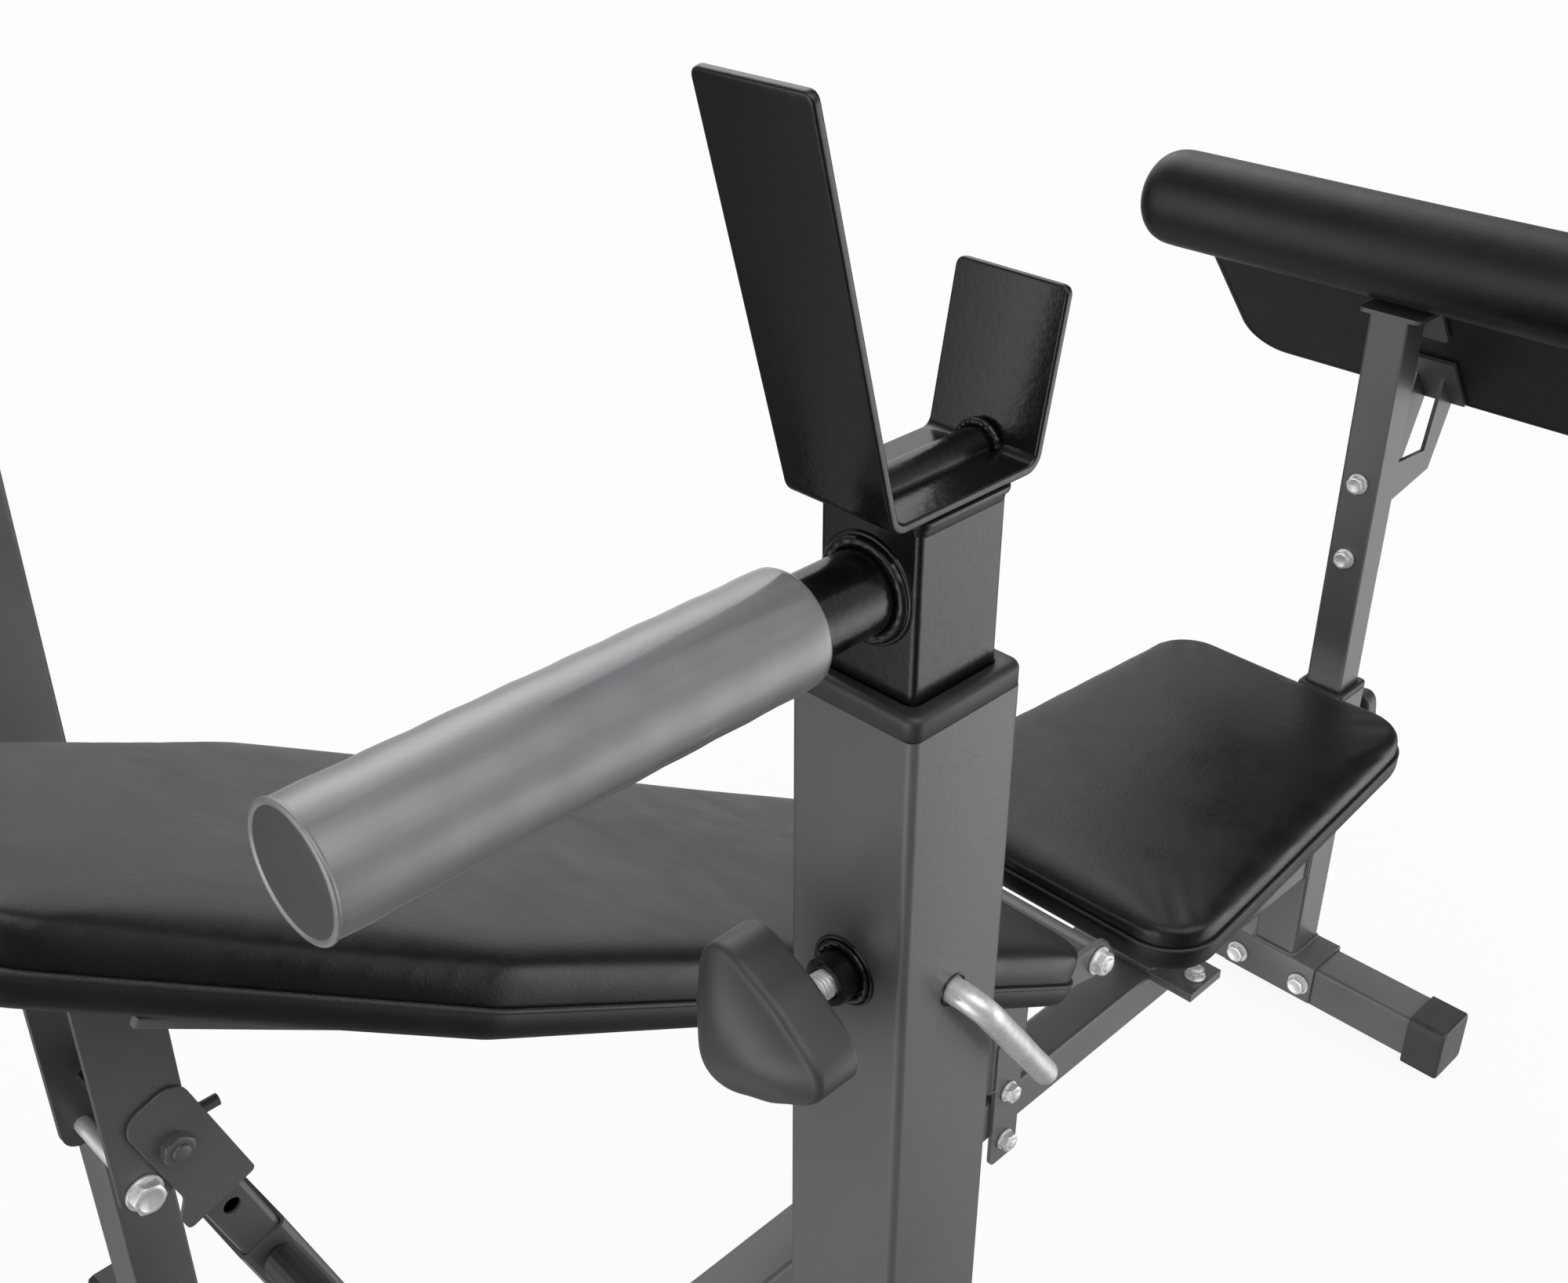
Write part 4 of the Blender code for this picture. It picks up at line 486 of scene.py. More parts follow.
def makeScrew(end, node, origin, direction):
    screw = {"radius": 0.0050, "depth": 0.00085, "pitch": 0.0015, "start": 0.0193, "length": 0.044, "rows": 234}

    def radiusAt(height, groove):
        cut = screw["depth"] * min(1.0, max(0.0, (groove - 0.10) / 0.78))
        return screw["radius"] - cut - (1 - min(1.0, height / 0.0015)) * 0.0012

    heights = [screw["length"] * row / screw["rows"] for row in range(screw["rows"] + 1)]
    matrix = frameOf(origin + direction * screw["start"], direction, xAxis)
    mesh = placed(threaded(heights, screw["pitch"], 0, radiusAt), matrix)
    addPiece("thread_" + end, mesh, "zinc", node + "_body", [node], 60)


def makeBushRing(end, origin, direction):
    bead = weldRing(0.0102, 0.0012, 0.00072, 96, 17, 0.06, 0.05, 3.1)
    lip = tubeAlong(circleAt(0.0122, 0.0002, 72), 0.0007, 10)
    bush = [(0.0054, 0.0052), (0.0054, 0.0087), (0.0059, 0.0092), (0.0080, 0.0092), (0.0086, 0.0086), (0.0086, 0)]
    matrix = frameOf(origin + direction * (outerWidth / 2), direction, xAxis)
    addPiece("bushBead_" + end, placed(merged([bead, lip, turned(bush, 64)]), matrix), "steel", "frame")


clamps = [(label, "clamp_{}_" + label, (side * postX, rearY, clampZ), yAxis)
          for label, side in sides]
clamps.append(("preacher", "preacher_{}", (0, frontY, frontClampZ), -yAxis))
for end, node, origin, direction in clamps:
    makeKnob(end, node.format("knob"), Vector(origin), direction)
    makeScrew(end, node.format("screw"), Vector(origin), direction)
    makeBushRing(end, Vector(origin), direction)
print("clamps made")


# Dip handles: grips, stubs and their weld rings
def makeDipHandle(label, side):
    handle = {"start": 0.051, "length": 0.156, "radius": 0.0180, "bead": 0.0006, "stub": 0.013, "stubLength": 0.180}
    body = "rack_" + label
    centre = Vector((side * postX, rearY, stubZ))
    radius, length, bore = handle["radius"], handle["length"], handle["stub"] + 0.0006
    profile = [(bore, 0.010), (bore, 0.0010), (radius - 0.0016, 0.0), (radius - 0.0006, 0.0003),
               (radius - 0.0001, 0.0012), (radius, 0.0030)]
    profile += [(radius + 0.00012 * sin(step * 1.9), 0.003 + (length - 0.014) * step / 24) for step in range(1, 25)]
    for angle in angles(pi, 8):
        profile.append((radius - 0.0002 + handle["bead"] * sin(angle), length - 0.0021 + 0.00075 * (1 - cos(angle))))
    for drawn, back in ((0.0007, 0.0003), (0.0012, 0.0005), (0.0016, 0.0010)):
        profile.append((radius - drawn, length - back))
    rings = []
    for reach, height in profile:
        ring = []
        for x, y in circle(1, 72):
            size = reach + 0.00016 * noise.noise((x * 1.6, y * 1.6, height * 30))
            ring.append((size * x, size * y, height))
        rings.append(ring)
    matrix = frameOf(centre + yAxis * handle["start"], yAxis, xAxis)
    addPiece("grip_" + label, placed(loft(rings), matrix), "grip", body, ["dip_grip_" + label], 60)
    # the closed end is a separate darker disc: painted shade on the end face that turns away from the light
    flat = turned([(radius - 0.0015, length - 0.0030), (radius - 0.0015, length - 0.0009),
                   (radius - 0.0022, length - 0.0007), (radius * 0.5, length - 0.0006)], 72)
    addPiece("gripShadedEnd_" + label, placed(flat, matrix), "gripShadedEnd", body, sharp=60)
    stub = turned([(handle["stub"], 0.0002), (handle["stub"], handle["stubLength"])], 64)
    weld = weldRing(0.0146, 0.0021, 0.0011, 120, 21, 0.05, 0.10, side * 4.0)
    outer = tubeAlong(circleAt(0.0168, 0.0001, 96), 0.0010, 10)
    matrix = frameOf(centre + yAxis * (innerWidth / 2), yAxis, xAxis)
    addPiece("stub_" + label, placed(merged([stub, weld, outer]), matrix), "steel", body, ["dip_stub_" + label], 60)


for label, side in sides:
    makeDipHandle(label, side)
print("dip handles made")


def squareStack(layers, steps=6, wrap=False):
    return stack([(squareOutline(width, radius, steps), height) for width, radius, height in layers], wrap)


# Saddles: folded plate with softened edges, the half-round bar on its floor and the weld beads
def makeSaddle(label, side):
    saddle = {"floor": 1.132, "thick": 0.003, "half": 0.0203, "fold": 0.0301, "bend": 0.005, "corner": 0.0030,
              "rod": 0.0062, "edge": 0.0009, "around": 0.0072, "bead": 0.0014,
              "flanges": ((1.2516, radians(15.1)), (1.182, radians(10.7)))}
    floor, thick, half, fold, rounding, corner, rod, edge, around, bead, flanges = saddle.values()
    x, y, middle = side * postX, rearY, floor - thick / 2
    tall, short = (Vector((fold + (top - middle) * tan(lean), top)) for top, lean in flanges)
    corners = [tall, Vector((fold, middle)), Vector((-fold, middle)), Vector((-short.x, short.y))]
    line = [tall]
    for before, here, after in zip(corners, corners[1:], corners[2:]):
        line += bend(before, here, after, rounding, 10)
    line.append(corners[-1])
    lengths = [0, *accumulate((after - here).length for here, after in zip(line, line[1:]))]
    total = lengths[-1]

    def slimmed(radius, margin):
        return radius - sqrt(max(0, radius ** 2 - max(0, radius - margin) ** 2))

    near = [0, 0.00012, 0.0003, 0.0006, 0.0009, 0.0015, 0.0023, 0.0033, 0.0042, 0.005]
    spots = [s for s in near + [0.02 + i * 0.01 for i in range(9)] if s < lengths[1] - 0.002]
    rings = []
    for distance in spots + lengths[1:-1] + [total - s for s in reversed(near)]:
        margin = min(distance, total - distance)
        width = half - slimmed(corner, margin)
        depth = thick / 2 - slimmed(edge, margin)
        shape = rectangle(width, depth, min(edge, depth * 0.98), 4)
        index = next(i for i in range(len(line) - 1) if distance <= lengths[i + 1] or i == len(line) - 2)
        step = line[index + 1] - line[index]
        point = line[index] + step * ((distance - lengths[index]) / (lengths[index + 1] - lengths[index]))
        heading = step.normalized()
        rings.append([(x + a, y + point.x - heading.y * b, point.y + heading.x * b) for a, b in shape])
    height, reach = floor - 0.0003, fold + 0.0006
    # half-round bar: its flat side sits in the plate
    arch = [(rod, -0.0012)] + [(rod * cos(turn), rod * sin(turn)) for turn in angles(pi, 30)] + [(-rod, -0.0012)]
    bar = placed(stack([(arch, 0), (arch, 2 * reach)]), frameOf((x, y - reach, height), yAxis, -xAxis))
    beads = []
    for end in (-1, 1):
        spots, radii = [], []
        for index, angle in enumerate(angles(radians(192), 60, radians(-6))):
            swell = 1 + 0.06 * sin(index * 1.3) + 0.12 * noise.noise((index * 0.13, side * 2.0, end * 5.0))
            spots.append((x + around * cos(angle), y + end * (fold - 0.0022), height + around * sin(angle)))
            radii.append(bead * swell)
        beads.append(tubeAlong(spots, radii, 12, closed=False))
    # two-step bead under the plate, round the top of the sliding tube
    lip = [(0.0380, 0.0052), (0.0386, 0.0046), (0.0392, 0.0032), (0.0396, 0.0024), (0.0412, 0.0021), (0.0418, 0.0012),
           (0.0416, 0.0003), (0.0405, 0.0)]
    collar = squareStack([(width, width / 2 - 0.0160, -drop) for width, drop in lip])
    collar = movedTo(collar, x, y, floor - thick)
    addPiece("saddleSkin_" + label, merged([loft(rings), bar, collar] + beads), "steel", "rack_" + label,
             ["saddle_" + label], 42)


for label, side in sides:
    makeSaddle(label, side)
print("saddles made")


# Plastic collars on the outer tubes
def makeCollar(end, node, x, y, top):
    collar = {"height": 0.0083, "width": 0.0506, "inner": 0.0388, "radius": 0.0046, "edge": 0.0026}
    height, width, inner, radius, edge = collar.values()
    layers = [(inner, 0.0032, -0.002), (inner, 0.0032, height - 0.0006), (inner + 0.0012, 0.0036, height)]
    for angle in angles(pi / 2, 6):
        drawn = edge * (1 - sin(angle))
        layers.append((width - 2 * drawn, radius - drawn * 0.6, height + edge * (cos(angle) - 1)))
    layers += [(width, radius, 0.0006), (width - 0.0008, radius, 0.0), (width - 0.004, radius, -0.0001)]
    addPiece("collarSkin_" + end, movedTo(squareStack(layers, wrap=True), x, y, top), "cap", "frame", [node], 60)


for label, side in sides:
    makeCollar(label, "collar_" + label, side * postX, rearY, postTop)
makeCollar("preacher", "sleeve_collar", 0, frontY, sleeveTop)


# Dipped locking pins of the racks
def makePin(label, side):
    pin = {"radius": 0.0047, "start": 0.0193, "out": 0.037, "bend": 0.009, "leg": Vector((0, -0.042, -0.058))}
    origin = Vector((side * postX, rearY, pinZ))
    length = pin["leg"].length - pin["radius"]
    corners = [Vector(spot) for spot in ((pin["start"], 0), (pin["out"], 0), (pin["out"], length))]
    arc = bend(*corners, pin["bend"], 14)
    line = [corners[0].lerp(arc[0], step / 4) for step in range(4)] + arc
    line += [arc[-1].lerp(corners[2], step / 22) for step in range(1, 23)]
    heading = pin["leg"].normalized()
    path = [origin + xAxis * side * spot.x + heading * spot.y for spot in line]
    radii = [pin["radius"] * (1 + 0.035 * noise.noise(point * 90)) for point in path]
    for angle in angles(pi / 2, 8)[1:-1]:
        path.append(path[40] + heading * pin["radius"] * sin(angle))
        radii.append(pin["radius"] * cos(angle))
    addPiece("pinSkin_" + label, tubeAlong(path, radii, 28, closed=False), "dipped", "rack_pin_" + label + "_body",
             ["rack_pin_" + label], 70)
    # a black ring on the upright's closed wall stands in for the shadowed edge of the pin's hole: painted shade
    rim = holeRim(origin.x + side * (outerWidth / 2 + 0.00005), origin.y, origin.z, 0.0056, 0.0005, 48)
    addPiece("pinHoleShade_" + label, rim, "steel", "frame")


for label, side in sides:
    makePin(label, side)
print("collars and pins made")


# Smooth tubes stand for the drilled and faceted ones that are seen from close by
def tubeShell(width, radius, wall, low, high):
    inner = (width - 2 * wall, max(radius - wall, 0.0008))
    return squareStack([(width, radius, low), (width, radius, high), (*inner, high), (*inner, low)], 8, True)


def drilledShell(width, radius, wall, low, high, spots, hole):
    # tube with a row of round holes through the walls that face along x
    shell = tubeShell(width, radius, wall, low, high)
    flat = [face for face in shell.faces if abs(face.normal.x) > 0.999]
    bmesh.ops.delete(shell, geom=flat, context="FACES_ONLY")
    parts = [shell]
    bounds = [low] + [(first + second) / 2 for first, second in zip(spots, spots[1:])] + [high]
    inner = width / 2 - wall
    skins = [(width / 2, width / 2 - radius), (inner, inner - max(radius - wall, 0.0008))]
    for side in (-1, 1):
        plate = bmesh.new()
        for spot, bottom, top in zip(spots, bounds, bounds[1:]):
            rows = []
            for x, reach in skins:
                ring, border = [], []
                for across, up in circle(1, 32):
                    longest = max(abs(across), abs(up))
                    rise = (top - spot if up > 0 else spot - bottom) * up / longest
                    ring.append(plate.verts.new((side * x, hole * across, spot + hole * up)))
                    border.append(plate.verts.new((side * x, reach * across / longest, spot + rise)))
                rows += [border, ring]
            for lower, upper in ((0, 1), (1, 3), (3, 2)):
                quads(plate, rows[lower], rows[upper])
        bmesh.ops.remove_doubles(plate, verts=plate.verts, dist=0.000001)
        bmesh.ops.recalc_face_normals(plate, faces=plate.faces)
        parts.append(plate)
    return merged(parts)


def channelShell(x, y):
    # folded bracket over the crossbar, with its bends rounded
    bracket = {"half": 0.0283, "inner": 0.0253, "top": 0.0613, "under": 0.0583, "low": 0.012, "reach": 0.053,
               "fold": 0.0030, "soft": 0.0007}
    half, inner, top, under, low, reach, fold, soft = bracket.values()
    corners = [(-half, low), (-inner, low), (-inner, under), (inner, under), (inner, low), (half, low), (half, top),
               (-half, top)]
    outline = roundedPolygon(corners, [0.0008, 0.0008, 0.0006, 0.0006, 0.0008, 0.0008, fold, fold], 5)
    layers = []
    for drawn, back in ((soft, 0), (soft * 0.3, soft * 0.3), (0, soft)):
        layers.append((inset(outline, drawn) if drawn else outline, back - reach))
    layers += [(shape, -height) for shape, height in reversed(layers)]
    return placed(stack(layers), frameOf((x, y, 0), xAxis, yAxis))


def weldLoop(spots, size, seed):
    path = []
    for here, after in zip(spots, spots[1:] + spots[:1]):
        pieces = max(1, round((after - here).length / 0.0022))
        path += [here.lerp(after, step / pieces) for step in range(pieces)]
    radii = []
    for index, spot in enumerate(path):
        ripple = 0.10 * sin(index * 1.9) + 0.22 * noise.noise(spot * 130 + Vector((seed, 0, 0)))
        radii.append(size * (1 + ripple))
    return tubeAlong(path, radii, 12)


def squareWeld(centre, width, size, seed, turn=Matrix.Identity(4)):
    return weldLoop([Vector(centre) + turn @ Vector((x, y, 0)) for x, y in squareOutline(width, 0.005, 4)], size, seed)


def makeOuterTube(name, node, x, y, top, corner, seed):
    tube = movedTo(tubeShell(outerWidth, corner, 0.0025, 0.0600, top), x, y)
    mesh = merged([tube, channelShell(x, y), squareWeld((x, y, 0.0620), outerWidth + 0.0012, 0.0022, seed)])
    addPiece(name, mesh, "satin", "frame", [node], 38)


def makeRackTube(label, side):
    tube = {"low": 0.600, "high": 1.1287, "wall": 0.002, "corner": 0.0022, "pitch": 0.050, "holes": 7, "hole": 0.0052}
    x, y = side * postX, rearY
    spots = [pinZ - step * tube["pitch"] for step in reversed(range(tube["holes"]))]
    shell = drilledShell(innerWidth, tube["corner"], tube["wall"], tube["low"], tube["high"], spots, tube["hole"])
    rims = [holeRim(x + face * innerWidth / 2, y, spot, 0.0054, 0.00034, 32) for face in (-1, 1) for spot in spots]
    addPiece("rackTubeSkin_" + label, merged([movedTo(shell, x, y)] + rims), "steel", "rack_" + label,
             ["rack_tube_" + label], 38)


for label, side in sides:
    makeOuterTube("uprightSkin_" + label, "upright_" + label, side * postX, rearY, postTop,
                  0.0032, side * 3.0)
    makeRackTube(label, side)
makeOuterTube("frontSleeveSkin", "front_sleeve", 0, frontY, sleeveTop, 0.0042, 9.0)


# Weld beads where tubes and plates meet on the solids that stay
def makeWelds():
    size, alongRail = 0.0021, frameOf((0, 0, 0), yAxis, xAxis)
    welds = [(frontY + 0.0262, 0.1895, 0.0460, size, 1.0, alongRail),
             (rearY - 0.0262, 0.1895, 0.0460, size, 2.0, alongRail), (rearY, 0.0620, 0.0514, size, 4.0),
             (rearY - 0.846, 0.2170, 0.0462, size, 5.0), (rearY - 0.846, 0.3908, 0.0462, size, 6.0),
             (hingeY, 0.2286, 0.0500, size * 0.8, 7.0)]
    ends = [squareWeld((0, y, z), *rest) for y, z, *rest in welds]
    corners = ((-0.024, -1), (0.024, -1), (0.024, 1), (-0.024, 1))
    ends.append(weldLoop([Vector((x, hingeY + along * 0.0098, 0.4020)) for x, along in corners], size, 8.0))
    addPiece("weldBeads_frame", merged(ends), "satin", "frame")


makeWelds()
print("tubes and welds made")


# Hexagon bolts with washers, nuts and thread ends
def hexRing(across, limit):
    points = []
    for x, y in circle(1):
        flat = across / 2 / cos((atan2(y, x) + pi / 6) % (pi / 3) - pi / 6)
        points.append((min(flat, limit) * x, min(flat, limit) * y))
    return points


def boltShape(middle, heading, reach, sizes):
    bolt = {"washer": 0.0020, "chamfer": 0.0013, "edge": 0.0004, "threadOut": 0.0026, "pitch": 0.00125}
    thick, chamfer, edge, out, pitch = bolt.values()
    radius, across, head, disc = sizes
    corner = across / sqrt(3)

    def radiusAt(height, groove):
        return radius - 0.0005 * groove - 0.0012 * max(0, (height - 0.0006) / out - 0.85) / 0.15

    parts = []
    ends = [(middle + heading * reach, heading, False), (middle - heading * reach, -heading, True)]
    for base, direction, nut in ends:
        spin = Matrix.Rotation(radians(17 if nut else 49) + base.x * 7 + base.z * 5, 4, "Z")
        matrix = frameOf(base, direction, zAxis if abs(heading.z) < 0.9 else xAxis) @ spin
        top = thick + (head * 1.08 if nut else head)
        layers = [(hexRing(across, corner * (0.93 if nut else 0.995)), thick)]
        if nut:
            layers.append((hexRing(across, corner), thick + chamfer * 0.6))
        for share in (step / 5 for step in range(6)):
            limit = corner - (corner - across * 0.47) * share ** 1.6
            layers.append((hexRing(across, limit), top - chamfer * (1 - share)))
        layers.append((circle(across * 0.40), top + 0.0001))
        if not nut:
            layers.append((circle(across * 0.344), top - 0.0004))
        washer = turned([(disc - edge, 0), (disc, edge), (disc, thick - edge), (disc - edge, thick)])
        parts += [placed(washer, matrix), placed(stack(layers), matrix)]
        if nut:
            heights = [out * row / 26 + 0.0006 for row in range(27)]
            parts.append(placed(threaded(heights, pitch, top - 0.0010, radiusAt), matrix))
    return parts


def addBolt(name, middle, heading, reach, sizes, finish, body, nodes=()):
    shank = turned([(sizes[0], -reach), (sizes[0], reach)], 32)
    shank = placed(shank, frameOf(middle, heading, zAxis if abs(heading.z) < 0.9 else xAxis))
    addPiece(name, merged(boltShape(middle, heading, reach, sizes) + [shank]), finish, body, nodes, 34)


# Bolt sizes: thread radius, width across flats, head height, washer radius
small, large, hinge = (0.0049, 0.016, 0.0062, 0.0100), (0.0058, 0.018, 0.0072, 0.0122), (0.006, 0.018, 0.0072, 0.0122)


def boxOf(node):
    return [Vector(corner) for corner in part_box(node)]


def makeBolts():
    listed = [(end + "_bolt_" + label, "frame", yAxis, large) for end in ("front", "rear") for label, side in sides]
    listed += [("preacher_bolt_" + level, "preacher_stand", yAxis, small) for level in ("upper", "lower")]
    listed += [("seat_bolt_" + label, "frame", zAxis, small) for label, side in sides]
    listed += [("clamp_bolt_" + level, "frame", xAxis, small) for level in ("upper", "lower")]
    listed += [("hinge_bolt", "backrest", xAxis, hinge), ("prop_pivot_bolt", "backrest", xAxis, small)]
    for node, body, heading, sizes in listed:
        low, high = boxOf(node)
        reach = (high - low).dot(heading) / 2 - sizes[2] - 0.0020
        finish = "satin" if node == "prop_pivot_bolt" else "zinc"
        addBolt("fastener_" + node, (low + high) / 2, heading, reach, sizes, finish, body, [node])
    for label, side in sides:
        for end in (-1, 1):
            middle = Vector((side * postX + end * 0.0385, rearY, 0.033))
            name = "fastener_upright_" + label + ("_outer" if end == side else "_inner")
            addPiece(name, merged(boltShape(middle, yAxis, 0.0285, large)), "zinc", "frame", sharp=34)


makeBolts()
print("bolts made")


# Soft pads: a foam form, skinned with voxels, swollen by cloth pressure and welted to a wrapped board
def foamForm(outline, profile, crown):
    rings = [(inset(outline, drawn), height) for drawn, height in profile]
    rim, top = rings[-1]
    middle = Vector((sum(spot[0] for spot in rim), sum(spot[1] for spot in rim))) / len(rim)
    for share in (1 - step / 12 for step in range(1, 12)):
        ring = [tuple(middle + (Vector(spot) - middle) * share) for spot in rim]
        rings.append((ring, top + crown * (1 - share ** 2)))
    return stack(rings)


def smoothed(mesh, times, factor):
    for _ in range(times):
        bmesh.ops.smooth_vert(mesh, verts=mesh.verts, factor=factor, use_axis_x=True, use_axis_y=True, use_axis_z=True)


def swell(name, form, pad, held):
    data = written(form, bpy.data.meshes.new(name + "_form"))
    soft = linked(name, data)
    skin = soft.modifiers.new("skin", "REMESH")
    skin.mode = "VOXEL"
    skin.voxel_size = pad["voxel"]
    graph = bpy.context.evaluated_depsgraph_get()
    skinned = bpy.data.meshes.new_from_object(soft.evaluated_get(graph))
    soft.modifiers.clear()
    soft.data = skinned
    bpy.data.meshes.remove(data)
    mesh = bmesh.new()
    mesh.from_mesh(skinned)
    smoothed(mesh, pad["ease"], 0.5)
    written(mesh, skinned)
    rest = [vert.co.copy() for vert in skinned.vertices]
    group = soft.vertex_groups.new(name="held")
    group.add([index for index, spot in enumerate(rest) if held(spot)], 1.0, "REPLACE")
    frames, pressure = 20, 0.8
    cloth = soft.modifiers.new("swell", "CLOTH")
    settings, contact, cache = cloth.settings, cloth.collision_settings, cloth.point_cache
    settings.quality = 5
    settings.use_pressure = True
    settings.uniform_pressure_force = pressure
    settings.vertex_group_mass = "held"
    settings.effector_weights.gravity = 0
    contact.use_collision = contact.use_self_collision = False
    cache.frame_start, cache.frame_end = 1, frames
    for step in range(1, frames + 1):
        scene.frame_set(step)
    graph = bpy.context.evaluated_depsgraph_get()
    swollen = soft.evaluated_get(graph).to_mesh()
    moves = [vert.co - start for vert, start in zip(swollen.vertices, rest)]
    soft.evaluated_get(graph).to_mesh_clear()
    soft.modifiers.clear()
    soft.vertex_groups.clear()
    scene.frame_set(1)
    cap = pad["cap"]
    for vert, start, move in zip(skinned.vertices, rest, moves):
        # moves level off towards the cap
        size = move.length
        vert.co = start + move * (cap * (1 - exp(-size / cap)) / size if size > 1e-9 else 1)
    largest = round(max(move.length for move in moves) * 1000, 1)
    print(name, "swelled, largest free move", largest, "mm,", len(rest), "points")
    return soft


def cornerPucker(spot, normal, pad):
    # folds run down the sides and die out on the flat top
    side = max(0.0, 1 - abs(normal.z) * 1.4) * min(1.0, max(0.0, (spot.z - pad["seam"]) / 0.012))
    fold = noise.noise(Vector((spot.x * 62, spot.y * 62, spot.z * 9 + pad["seed"])))
    broad = noise.noise(Vector((spot.x * 7, spot.y * 7, spot.z * 7 + pad["seed"] * 2)))
    return side * fold * 0.0002 + broad * pad["wave"]


def makePad(name, pad, form, held, matrix, body, outline, layers, run, closed=True):
    # small puckers where the cover is pulled round its corners, then one subdivision
    soft = swell(name + "Cushion", form, pad, held)
    data = soft.data
    mesh = bmesh.new()
    mesh.from_mesh(data)
    smoothed(mesh, 2, 0.4)
    mesh.normal_update()
    for vert in mesh.verts:
        vert.co += vert.normal * cornerPucker(vert.co, vert.normal, pad)
    written(placed(mesh, matrix), data)
    data.materials.clear()
    data.materials.append(finishes["vinyl"])
    data.shade_smooth()
    finer = soft.modifiers.new("finer", "SUBSURF")
    finer.levels = finer.render_levels = 1
    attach(soft, body)
    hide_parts(name + "_pad")
    rings = [(inset(outline, drawn), height) for drawn, height in layers]
    addPiece(name + "Wrap", placed(stack(rings), matrix), "under", body, [name + "_board"], 50)
    spots = [matrix @ Vector(spot) for spot in run]
    radii = [0.0015 * (1 + 0.04 * noise.noise(spot * 70)) for spot in spots]
    addPiece(name + "Welt", tubeAlong(spots, radii, 12, closed), "piping", body, sharp=70)


def backOutline(narrowing, spacing=0.008):
    start, waist, end = 0.077 + narrowing, 0.680, 0.934 - narrowing
    wide, narrow = 0.1445 - narrowing, 0.0918 - narrowing
    corners = [(wide, start), (wide, waist), (narrow, end), (-narrow, end), (-wide, waist), (-wide, start)]
    return evened(roundedPolygon(corners, [0.045, 0.060, 0.0405, 0.0405, 0.060, 0.045], 10), spacing)


slope = Matrix.Translation((0, hingeY, hingeZ)) @ Matrix.Rotation(incline, 4, "X")


def makeBackrest():
    pad = {"voxel": 0.0045, "ease": 1, "cap": 0.0032, "fill": 0.85, "seed": 1.7, "wave": 0.0003, "top": 0.0248,
           "seam": 0.0004}
    top, seam = pad["top"], pad["seam"]
    profile = [(0.0070, seam - 0.0095), (0.0040, seam - 0.0090), (0.0028, seam - 0.0070), (0.0024, top - 0.0075),
               (0.0028, top - 0.0048), (0.0040, top - 0.0024), (0.0062, top - 0.0008), (0.0105, top)]
    layers = [(0.0040, 0.0012), (0.0022, 0.0004), (0.0008, -0.0016), (0.0003, -0.0050), (0.0008, -0.0095),
              (0.0024, -0.0138), (0.0050, -0.0172), (0.0085, -0.0187), (0.0120, -0.0188), (0.0124, -0.0180)]
    makePad("backrest", pad, foamForm(backOutline(0), profile, 0.0012), lambda spot: spot.z < seam + 0.0020, slope,
            "backrest", backOutline(0, 0.012), layers, [(x, y, -0.0001) for x, y in backOutline(0.0012, 0.006)])


def mirroredSlabs(shape, near, far, soft, matrix):
    return [placed(slab(shape, *sorted((side * near, side * far)), soft), matrix) for side in (-1, 1)]


